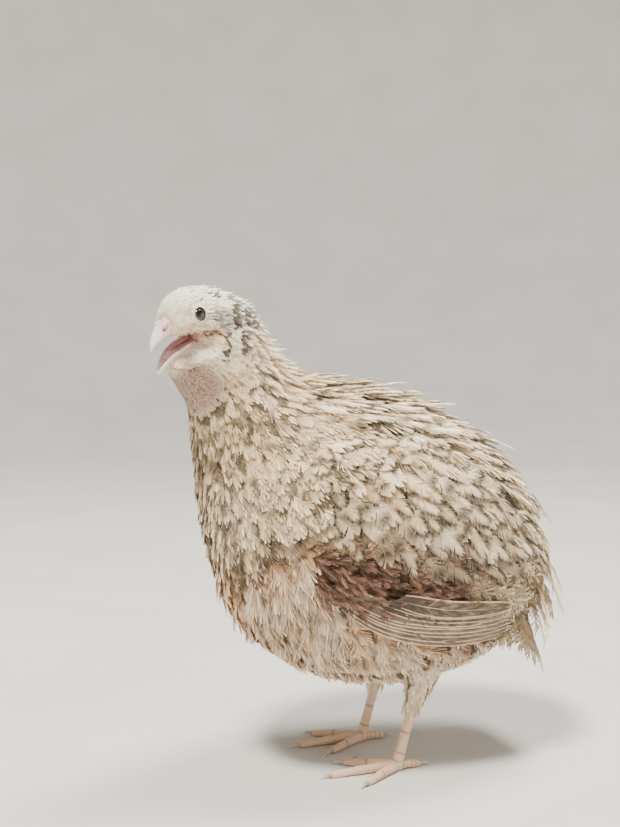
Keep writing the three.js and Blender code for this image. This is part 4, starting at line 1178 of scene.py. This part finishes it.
def flight_feathers(name, side):
    """The long feathers along the folded wing's lower edge, each higher than the one below it"""
    rng = np.random.default_rng(SEED + 60 + side)
    for kind, places, count, width, height, step, shade in FLIGHT_GROUPS:
        heights = height + step * np.arange(count)
        path, face, rib, angle = side_paths(side, places, count, heights)
        length = np.linalg.norm(np.diff(path, axis=1), axis=-1).sum(1)
        flock = new_flock(rng, rib, angle, length, width, blunt=0.7, torn=0.01)
        flock["length"] = length
        base = blend(FLIGHT_GREY, DUSK, rng.random(count)) * shade
        look = new_look(count, base=base, tip=base * 1.15, edge=FLIGHT_EDGE, down=base, bars=0.2, margin=1.0,
                        bands=rng.uniform(7, 8.5, count), phase=rng.random(count) * 0.25, mark=CREAM,
                        light=1 + 0.05 * rng.normal(size=count))
        feather_piece(f"{kind}_{name}", VANE, (path, face), flock, look, rng, FLIGHT, "flight_feathers",
                      frizz=0.002, ragged=0.004, tilt=0.0, slip=0.05)


# Where the dusky feathers root, in x and z, and how much lower that is for each millimetre backwards
DUSKY_X = (-32, 22)
DUSKY_Z = (66, 86)
DUSKY_FALL = 0.1


def hidden_wing(name, side):
    """The dusky ruffled feathers between the coverts and the primaries"""
    rng = np.random.default_rng(SEED + 70 + side)
    count = 190
    x = rng.uniform(*DUSKY_X, count)
    rib, angle = place_at(x, mix(*DUSKY_Z, rng.random(count)) - DUSKY_FALL * x)
    angle = side * angle
    flock = new_flock(rng, rib, angle, rng.uniform(8, 13, count), 3.4, low=0.3,
                      high=rng.uniform(2.8, 4.4, count), stray=side * 22 + 24 * rng.normal(size=count),
                      torn=0.35, blunt=0.3)
    base = blend(DUSKY_DARK, DUSKY_LIGHT, rng.random(count))
    look = new_look(count, base=base, tip=blend(base, GREY, rng.uniform(0, 0.35, count)), down=BROWN,
                    streak=0.5, mark=BROWN, quill=0.25)
    feather_piece(f"wing_dusky_{name}", BODY, follow(flock), flock, look, rng, frizz=0.2, ragged=0.16)


def flank_fluff(name, side):
    """Loose hanging fluff on the flank and the belly's side"""
    rng = np.random.default_rng(SEED + 80 + side)
    count = 560
    rib = rng.uniform(9.2, 13.8, count)
    angle = side * (mix(132, 118, (rib - 9.2) / 4.4) + rng.uniform(-16, 34, count))
    free = ~under_flights(rib, angle)
    rib, angle, count = rib[free], angle[free], int(free.sum())
    length = rng.uniform(11, 19, count)
    flock = new_flock(rng, rib, angle, length, length * 0.42, high=rng.uniform(0.6, 4.2, count), sag=0.6,
                      stray=14 * rng.normal(size=count), torn=0.3, blunt=0.25)
    base = blend(mix(CREAM, WARM, 0.4), WHITE_DOWN, 0.8 * rng.random(count))
    rust = (rng.random(count) < 0.22)[:, None]
    base = np.where(rust, mix(base, WARM, 0.6), base)
    look = new_look(count, base=base, tip=mix(base, PALE, 0.6), down=mix(GREY, base, 0.3),
                    streak=np.where(rng.random(count) < 0.12, 0.5, 0), quill=0.5,
                    light=0.92 + 0.07 * rng.normal(size=count))
    feather_piece(f"fluff_{name}", FLUFF, follow(flock), flock, look, rng, DOWN, frizz=0.14, ragged=0.1)


# Skin
def mouth_prism():
    """The mouth's outline straight through the head, posed with it"""
    return loft(np.stack([posed([(x, y, z) for x, z in MOUTH_SIDE]) for y in (-16, 16)]))


def cut(piece, cutter):
    """Takes the cutter's form out of a piece, and the cutter out of the scene"""
    change = piece.modifiers.new("cut", "BOOLEAN")
    change.operation = "DIFFERENCE"
    change.solver = "EXACT"
    change.object = cutter
    change.material_mode = "TRANSFER"
    bpy.context.view_layer.objects.active = piece
    with bpy.context.temp_override(object=piece, active_object=piece, selected_objects=[piece]):
        bpy.ops.object.modifier_apply(modifier=change.name)
    bpy.data.objects.remove(cutter)


# The legs, as the solids have them: the foot's place, the shank's lower and upper end and how far it leans
# back, the shank's radius, and the length and the radius of the feathered thigh
LEG_X, LEG_Y = 10, 17
SOLE_Z, ANKLE_Z, SHANK_REAR = 3.4, 24, 6
SHIN, PUFF, THIGH = 1.9, 22, 7.5

# The soles' height over the floor
LOWEST = 0.02


def shank_ends(side):
    sole = np.array([LEG_X, side * LEG_Y, SOLE_Z], float)
    hock = np.array([LEG_X + SHANK_REAR, side * LEG_Y, ANKLE_Z], float)
    return sole, hock


def tube(points, radii, sides, relief=None, flat=False):
    """A round limb along a line of points; relief(share, turn) scales its radius, and flat gives it a sole"""
    points = np.asarray(points, float)
    rows = 12 * (len(points) - 1) + 1 if relief is not None else len(radii)
    share = np.linspace(0, 1, rows)
    at = spline(points, share * (len(points) - 1))
    radius = np.interp(share, np.linspace(0, 1, len(radii)), radii)
    ahead = unit(np.gradient(at, axis=0))
    across = np.where(np.abs(ahead[:, 1:2]) < 0.9, [[0.0, 1.0, 0.0]], [[1.0, 0.0, 0.0]])
    up = unit(np.cross(ahead, across))
    side = unit(np.cross(up, ahead))
    turn = circle(sides)
    size = radius[:, None] * (relief(share[:, None], turn[None]) if relief is not None else 1)
    rings = at[:, None] + side[:, None] * (size * np.cos(turn))[..., None]
    rings = rings + up[:, None] * (size * np.sin(turn))[..., None]
    if flat:
        rings[..., 2] = np.maximum(rings[..., 2], LOWEST)
    return rings


# The skin's rings, closest on the face: from which rib to which, and how many
SKIN_RIBS = [(0.02, 3, 46), (3.05, 6, 40), (6.1, 15.98, 70)]


def skin():
    """The bare skin under the coat, with the mouth's opening cut into it"""
    ribs = np.concatenate([np.linspace(*stretch) for stretch in SKIN_RIBS])
    rib, angle = np.meshgrid(ribs, np.arange(0, 360, 3.0), indexing="ij")
    wrapped = np.where(angle > 180, angle - 360, angle)
    throat = smooth(np.abs(wrapped), 90, 120) * (1 - smooth(rib, 5.4, 6))
    # Painted shade between the feathers: the skin's tint is darkened, to 0.85 on the face and the throat and
    # to half on the body
    shade = mix(0.85, 0.5, smooth(rib, 3, 6) * (1 - throat))
    tone = mix(coat_tone(rib, wrapped), SKIN_TONE, 0.35) * shade[..., None]
    rings = surface(rib, angle, -by_rib(rib, SKIN_DEPTH))
    piece = piece_of("skin", rings, tone, SKIN, "plumage", "head", "neck", "torso")
    cut(piece, make_mesh("mouth_cutter", *mouth_prism(), MOUTH, None))
    redden_mouth(piece.data)


# How far ahead of the origin the mouth's dark end is, and how long the mouth is
THROAT_X = 62
MOUTH_LENGTH = 13


def redden_mouth(mesh):
    """Tints what the mouth's opening laid bare: dark at the gape, paler towards the tip"""
    mesh.polygons.foreach_set("use_smooth", np.ones(len(mesh.polygons), bool))
    slot = mesh.materials.find(MOUTH.name)
    bared = [polygon for polygon in mesh.polygons if polygon.material_index == slot]
    flesh = sorted({v for polygon in bared for v in polygon.vertices})
    tint = mesh.color_attributes["tint"].data
    for v in flesh:
        ahead = min(max((-mesh.vertices[v].co.x / MM - THROAT_X) / MOUTH_LENGTH, 0), 1)
        tint[v].color = (*mix(MOUTH_DEEP, MOUTH_PALE, ahead), 1)


# Bill and mouth
def upper_bill():
    """The curved upper bill: rings from its root to its tip, with a bulge where each nostril is"""
    rows, sides = 44, 40
    s = np.linspace(0, len(UPPER_BILL) - 1, rows)
    row = spline(UPPER_BILL, s)
    rim = np.stack([row[:, 2], 0 * s, row[:, 3]], -1)
    rise = np.stack([row[:, 0], 0 * s, row[:, 1]], -1) - rim
    turn = circle(sides)
    sine, cosine = np.sin(turn), np.cos(turn)
    height = np.where(sine > 0, np.abs(sine) ** 0.9, -0.18 * sine)
    across = np.sign(cosine) * np.abs(cosine) ** mix(0.9, 1.0, sine > 0)
    half = np.maximum(row[:, 4], 0.2)[:, None] * across[None]
    rings = rim[:, None] + rise[:, None] * height[None, :, None]
    rings[..., 1] += half
    bulge = 0.5 * np.exp(-(((s[:, None] - 1.35) / 0.6) ** 2) - ((height[None] - 0.62) / 0.28) ** 2)
    rings[..., 1] += np.sign(cosine)[None] * bulge
    share = np.broadcast_to((s / 5)[:, None], (rows, sides))
    under = np.broadcast_to((sine < -0.05)[None], (rows, sides))
    pink = np.exp(-(((share - 0.28) / 0.17) ** 2))[..., None]
    colour = blend(BILL_ROOT, BILL_TIP, smooth(share, 0.3, 0.7))
    colour = mix(colour, BILL_PINK, 0.65 * pink)
    colour = np.where(under[..., None], PALATE, colour)
    piece_of("upper_bill", posed(rings), colour, HORN, "horn", "bill_upper")
    for side in (-1, 1):
        nostril(side)


def ellipsoid(centre, reach, tilt, rows=14, sides=20):
    """Rings of an egg shape, tipped by so many degrees"""
    v = np.linspace(0.05, np.pi - 0.05, rows)[:, None]
    u = circle(sides)[None]
    x = reach[0] * np.cos(v) + 0 * u
    y = reach[1] * np.sin(v) * np.cos(u)
    z = reach[2] * np.sin(v) * np.sin(u)
    turn = math.radians(tilt)
    return np.stack([centre[0] + x * math.cos(turn) + z * math.sin(turn), centre[1] + y,
                     centre[2] - x * math.sin(turn) + z * math.cos(turn)], -1)


def nostril(side):
    """A slit under a soft flap: the slit is a dark solid, painted shade for the nostril's opening"""
    name = "right" if side > 0 else "left"
    x, y, z = NOSTRIL
    flap = ellipsoid((x + 0.3, side * (y - 0.5), z + 0.7), (2, 0.95, 1), NOSTRIL_TILT)
    piece_of(f"nostril_flap_{name}", posed(flap), FLAP, HORN, "horn")
    slit = ellipsoid((x, side * (y - 0.18), z - 0.45), (1.35, 0.5, 0.3), NOSTRIL_TILT)
    piece_of(f"nostril_slit_{name}", posed(slit), SLIT_SHADOW, MOUTH, "mouth")


def lower_bill():
    """The lower bill as an open trough: an outer and an inner wall, with flesh inside"""
    rows, half_sides = 40, 16
    s = np.linspace(0, len(LOWER_BILL) - 1, rows)
    row = spline(LOWER_BILL, s)
    rim = np.stack([row[:, 0], 0 * s, row[:, 1]], -1)
    ahead = unit(np.gradient(rim, axis=0))
    down = np.stack([-ahead[:, 2], 0 * s, ahead[:, 0]], -1) * np.where(ahead[:, 0] < 0, 1, -1)[:, None]
    turn = np.linspace(0, np.pi, half_sides)
    reach, depth = np.maximum(row[:, 3] + 0.15, 0.3), np.maximum(0.95 * row[:, 2], 0.3)
    wall = np.minimum(0.9, 0.42 * reach)
    outer = rim[:, None] + down[:, None] * (depth[:, None] * np.sin(turn))[..., None]
    outer[..., 1] += reach[:, None] * np.sign(np.cos(turn)) * np.abs(np.cos(turn)) ** 0.6
    hollow = 0.5 * (depth - wall * 0.6)
    inner = rim[:, None] + down[:, None] * (hollow[:, None] * np.sin(turn[::-1]))[..., None]
    inner[..., 1] += (reach - wall)[:, None] * np.cos(turn[::-1])
    share = np.broadcast_to((s / 5)[:, None, None], (rows, 2 * half_sides, 1))
    within = (np.arange(2 * half_sides) >= half_sides + 1) & (np.arange(2 * half_sides) < 2 * half_sides - 1)
    colour = mix(JAW_ROOT, JAW_TIP, smooth(share, 0.45, 0.8))
    flesh = mix(JAW_FLESH, JAW_FLESH_TIP, smooth(share, 0.35, 0.7))
    colour = np.where(within[None, :, None], flesh, colour)
    piece_of("lower_bill", posed(np.concatenate([outer, inner], 1)), colour, HORN, "horn", "bill_lower")


def tongue_piece():
    """A low tongue with a groove along it"""
    rows, sides = 26, 20
    s = np.linspace(0, 1, rows)
    at = blend(TONGUE_ROOT, TONGUE_TIP, s)
    at[:, 2] += 0.9 * np.sin(np.pi * s)
    reach = np.maximum(2.4 - 1.9 * s**1.4, 0.3) * np.sqrt(np.clip(1.02 - s**8, 0, 1))
    turn = circle(sides)
    groove = 0.12 * np.exp(-((np.cos(turn) / 0.25) ** 2)) * (np.sin(turn) > 0)
    rings = np.repeat(at[:, None], sides, 1)
    rings[..., 1] += reach[:, None] * np.cos(turn)
    rings[..., 2] += 0.5 * np.sin(turn)[None] - groove[None]
    piece_of("tongue_flesh", posed(rings), TONGUE, MOUTH, "mouth", "tongue")


# Eyes
def around_axis(at, face, radius, height, turn):
    """Points round a line that leaves a place the way that it faces"""
    across = unit(np.cross(face, [0.0, 0.0, 1.0]))
    up = np.cross(across, face)
    ring = np.cos(turn)[..., None] * across + np.sin(turn)[..., None] * up
    return at + radius[..., None] * ring + height[..., None] * face


# Degrees from the eye's axis where the pupil and the iris end
PUPIL_EDGE = (19, 22)
IRIS_EDGE = (36, 41)


def eye(side):
    """The eyeball with its pupil and its dark iris, and the lids round it"""
    name = "left" if side > 0 else "right"
    at, face = eye_seat(side)
    centre = at + face * (EYE_PROUD - EYE_RADIUS)
    rows, sides = 40, 48
    tilt = np.linspace(0.02, np.pi - 0.02, rows)[:, None]
    turn = circle(sides)[None]
    radius, height = EYE_RADIUS * np.sin(tilt) + 0 * turn, EYE_RADIUS * np.cos(tilt) + 0 * turn
    rings = around_axis(centre, face, radius, height, turn + 0 * tilt)
    out = np.degrees(tilt + 0 * turn)
    iris = IRIS * (1 + 0.25 * np.sin(17 * turn + 0 * tilt))[..., None]
    colour = blend(np.broadcast_to(PUPIL, out.shape + (3,)), iris, smooth(out, *PUPIL_EDGE))
    colour = blend(colour, EYE_RIM, smooth(out, *IRIS_EDGE))
    piece_of(f"eyeball_{name}", rings, colour, EYE, "eye", f"eye_{name}")
    lids(name, at, face)


def lids(name, at, face):
    """A closed rim round the eye, wrinkled on its outer part, with a skirt under the face's feathers"""
    sides = 56
    turn = circle(sides)
    squeeze = 1 + 0.15 * np.sin(turn) ** 2 - 0.09 * np.cos(turn) ** 2
    fold = 1 + 0.012 * np.sin(9 * turn + 1) + 0.01 * np.sin(26 * turn)
    rings = []
    for radius, height, _ in LID_SECTION:
        size = radius * squeeze * (fold if radius > 2.3 else 1)
        rings.append(around_axis(at, face, size, np.full(sides, height), turn))
    points = np.concatenate(rings)
    faces = np.concatenate([grid_faces(len(rings), sides), closing_faces(len(rings), sides)])
    tones = linear([tone for _, _, tone in LID_SECTION])
    make_mesh(f"lids_{name}", points, faces[:, ::-1], SKIN, "plumage", np.repeat(tones, sides, 0))


def closing_faces(rows, sides):
    """Joins the last ring to the first one, so that the lids are closed"""
    j = np.arange(sides)
    a, b = (rows - 1) * sides + j, (rows - 1) * sides + (j + 1) % sides
    c, d = (j + 1) % sides, j
    return np.concatenate([np.stack([a, b, c], -1), np.stack([a, c, d], -1)])


# Legs: each toe's turn in degrees, its length and its number of joints
TOES = {"inner": (32, 20, 2), "middle": (0, 26, 3), "outer": (-34, 20, 3), "hind": (178, 8.5, 1)}
TOE_ROOT, TOE_TIP, CLAW_LENGTH = 1.9, 1.25, 4.2
SHANK_SCUTES = 15


def scutes(count, depth):
    """Overlapping plates along a limb on its front, and small pads behind"""
    def relief(share, turn):
        saw = np.mod(share * count, 1.0)
        facing = smooth(np.cos(turn - math.pi / 2), -0.1, 0.6)
        pads = 0.035 * np.cos(2 * np.pi * count * 1.4 * share) * np.cos(5 * turn)
        plates = smooth(saw, 0, 0.85) - smooth(saw, 0.88, 1.0) - 0.3
        return 1 + facing * depth * plates + (1 - facing) * pads
    return relief


def no_relief(share, turn):
    """A plain round limb, with as many rings as a scaled one"""
    return 1 + 0 * share * turn


def scute_tone(rings, count):
    """Pale plates with darker grooves between them"""
    share = np.linspace(0, 1, rings.shape[0])[:, None] + np.zeros(rings.shape[:2])
    groove = smooth(np.abs(np.mod(share * count, 1.0) - 0.95), 0.0, 0.14)[..., None]
    return mix(SCUTE_GROOVE, SCUTE, groove)


def leg(name, side):
    """The scaled shank, from inside the thigh down to the foot, and the foot"""
    sole, hock = shank_ends(side)
    top = hock + unit(sole - hock) * 0.3 + unit(hock - sole) * 3
    radii = [SHIN * s for s in (1.25, 1.0, 0.9, 0.95, 1.08)]
    points = [top, mix(top, sole, 0.35), mix(top, sole, 0.7), sole]
    rings = tube(points, radii, 28, scutes(SHANK_SCUTES, 0.13))
    piece_of(f"shank_scutes_{name}", rings, scute_tone(rings, SHANK_SCUTES), LEG, "leg_skin", f"shank_{name}")
    foot(name, side)


def foot(name, side):
    """The toes and the foot's knob as one piece, and a claw on each toe"""
    hub = np.array([LEG_X, side * LEG_Y, TOE_ROOT * 0.9])
    sets = []
    for toe, (turn, length, joints) in TOES.items():
        turn = math.radians(turn) * side
        ahead = np.array([-math.cos(turn), -math.sin(turn), 0.0])
        tip = hub + ahead * length
        tip[2] = TOE_TIP * 0.85
        bends = [hub, mix(hub, tip, 0.5) + [0, 0, 0.25], tip]
        steps = 2 * joints + 1
        radii = [mix(TOE_ROOT, TOE_TIP, i / steps) * (0.93 if i % 2 else 1.05) for i in range(steps + 1)]
        count = round(length / 1.6)
        sets.append((tube(bends, radii, 22, scutes(count, 0.16), flat=True), count))
        claw(f"claw_{toe}_{name}", ahead, tip)
    knob = ellipsoid((LEG_X, side * LEG_Y, 1.9), (2.6, 2.6, 2.4), 0, 20, 28)
    knob[..., 2] = np.maximum(knob[..., 2], LOWEST)
    all_points, all_faces, all_colours, start = [], [], [], 0
    for rings, count in sets + [(knob, 3)]:
        points, faces = loft(rings)
        all_colours.append(with_ends(scute_tone(rings, count)))
        all_points.append(points)
        all_faces.append(faces + start)
        start += len(points)
    piece = make_mesh(f"foot_scutes_{name}", np.concatenate(all_points), np.concatenate(all_faces), LEG,
                      "leg_skin", np.concatenate(all_colours))
    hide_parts(f"foot_{name}")


def claw(name, ahead, tip):
    """A claw that leaves a toe's tip and bends down to the floor"""
    start = tip + ahead * 0.1
    middle = start + ahead * (CLAW_LENGTH * 0.55) + [0, 0, 0.3]
    end = start + ahead * (CLAW_LENGTH + 0.25)
    end[2] = 0.25
    rings = tube([start - ahead * 0.8, start, middle, end], [1.0, 0.98, 0.8, 0.6, 0.38, 0.12], 18,
                 no_relief, flat=True)
    tone = mix(CLAW_ROOT, CLAW_TIP, np.linspace(0, 1, rings.shape[0])[:, None, None])
    piece_of(f"{name}_horn", rings, np.broadcast_to(tone, rings.shape), CLAW, "horn", name)


# The thigh's radius from the hock up, as shares of its greatest one: under the feathers, and of the flesh
COAT_SHARES = (0.4, 0.66, 0.88, 1)
CORE_SHARES = (0.34, 0.5, 0.7, 0.85)


def thigh_radius(s, shares):
    return np.interp(s, [0, 0.25, 0.5, 1], [share * THIGH for share in shares])


def thigh_coat(name, side):
    """Small feathers round the feathered thigh, down to the hock"""
    rng = np.random.default_rng(SEED + 90 + side)
    sole, hock = shank_ends(side)
    axis = unit(hock - sole)
    count = 260
    share = rng.uniform(0.02, 1.0, count) ** 0.8
    turn = rng.uniform(0, 2 * np.pi, count)
    across = unit(np.cross(axis, [0.0, 1.0, 0.0]))
    other = np.cross(axis, across)

    def at(s, grow):
        radius = thigh_radius(s, COAT_SHARES) + grow
        spin = turn[:, None] + 0 * s
        ring = np.cos(spin)[..., None] * across + np.sin(spin)[..., None] * other
        return hock + axis * (s * PUFF)[..., None] + ring * radius[..., None], ring

    rows = np.linspace(0, 1, 6)[None]
    length = rng.uniform(6, 9, count)
    s = share[:, None] - rows * (length / PUFF)[:, None] * 0.95
    path, face = at(s, mix(-1.2, 0.5, rows) + 0 * s)
    flock = new_flock(rng, 12 + share, 150 * np.sin(turn), length, 3.4, blunt=0.3, torn=0.25)
    flock["length"] = length
    base = blend(CREAM, WHITE_DOWN, rng.random(count))
    look = new_look(count, base=base, tip=mix(base, PALE, 0.6), down=GREY, quill=0.4,
                    light=1 + 0.05 * rng.normal(size=count))
    s = np.linspace(0.03, 1, 14)
    rings = tube(hock + axis * (s * PUFF)[:, None], thigh_radius(s, CORE_SHARES), 24)
    # Painted shade between the feathers: the thigh's skin is darkened to 0.8 of its tone
    piece_of(f"thigh_core_{name}", rings, SKIN_TONE * 0.8, SKIN, "plumage")
    piece = feather_piece(f"thigh_coat_{name}", SMALL, (path, face), flock, look, rng, frizz=0.15, ragged=0.2)
    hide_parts(f"thigh_{name}")


# Studio, in metres
FLOOR_PROFILE = [(0.001, 0), (0.9, 0), (1.3, 0.02), (1.6, 0.12), (1.85, 0.35), (1.98, 0.7), (2.0, 1.3),
                 (2.0, 2.2)]
FLOOR_DROP = 0.05

# Each lamp's name, place, watts, size and colour, and the place that all of them light
LAMPS = [
    ("key", (-0.5, -0.45, 1.4), 46, 0.25, (1.0, 0.95, 0.87)),
    ("fill", (0.9, -0.9, 0.6), 3, 0.9, (1.0, 0.97, 0.94)),
    ("top", (0.35, 0.1, 1.4), 26, 0.4, (1.0, 0.97, 0.91)),
]
LIT_PLACE = np.array([-0.01, 0, 0.1])


def put(name, data, place, heading):
    """Adds a lamp or a camera that looks along a heading"""
    made = bpy.data.objects.new(name, data)
    made.location = place
    made.rotation_euler = Vector(heading).to_track_quat("-Z", "Y").to_euler()
    bpy.context.scene.collection.objects.link(made)
    return made


def studio():
    """A pale floor that curves up to a wall, three lamps and a dim world"""
    rows, sides = 60, 72
    profile = spline(FLOOR_PROFILE, np.linspace(0, len(FLOOR_PROFILE) - 1, rows))
    turn = circle(sides)
    radius = profile[:, :1]
    height = np.repeat(np.maximum(profile[:, 1:], 0), sides, 1)
    points = np.stack([radius * np.cos(turn), radius * np.sin(turn), height], -1).reshape(-1, 3) / MM
    points[:, 2] = np.maximum(points[:, 2], 0) - FLOOR_DROP
    material, tree, shader = new_material("studio_floor", {"Roughness": 0.9, "Specular IOR Level": 0.1})
    ramp = node(tree, "ShaderNodeMixRGB", {1: (0.62, 0.61, 0.59, 1), 2: (0.68, 0.67, 0.65, 1)})
    tree.links.new(noise(tree, 12, 3, 0, 1), ramp.inputs[0])
    tree.links.new(ramp.outputs[0], shader.inputs["Base Color"])
    make_mesh("studio_floor", points, grid_faces(rows, sides), material, None)
    for name, place, watts, size, colour in LAMPS:
        light = bpy.data.lights.new(name, "AREA")
        light.energy = watts
        light.size = size
        light.color = colour
        put(name, light, place, LIT_PLACE - np.array(place))
    world = bpy.data.worlds.new("studio")
    bpy.context.scene.world = world
    world.use_nodes = True
    set_inputs(world.node_tree.nodes["Background"], {0: (1.0, 0.98, 0.95, 1), 1: 0.2})


def camera():
    """The camera of the photograph's view"""
    azimuth, elevation = math.radians(CAMERA["azimuth"]), math.radians(CAMERA["elevation"])
    level = math.cos(elevation)
    back = np.array([math.sin(azimuth) * level, -math.cos(azimuth) * level, math.sin(elevation)])
    data = bpy.data.cameras.new("camera")
    data.sensor_fit = "HORIZONTAL"
    data.sensor_width = 36
    data.lens = data.sensor_width * CAMERA["pixels_per_mm"] * CAMERA["distance"] / IMAGE_WIDTH
    data.clip_start = 0.01
    place = (np.array(CAMERA_TARGET) + back * CAMERA["distance"]) * MM
    bpy.context.scene.camera = put("camera", data, place, -back)


camera()
studio()
skin()
upper_bill()
lower_bill()
tongue_piece()
for each_side in (1, -1):
    eye(each_side)
for each_name, each_side in (("left", -1), ("right", 1)):
    leg(each_name, each_side)
    thigh_coat(each_name, each_side)
face_coat()
neck_coat()
body_coat()
rump_coat()
tail_feathers()
for each_name, each_side in (("left", 1), ("right", -1)):
    wing_coverts(each_name, each_side)
    flight_feathers(each_name, each_side)
    hidden_wing(each_name, each_side)
    flank_fluff(each_name, each_side)
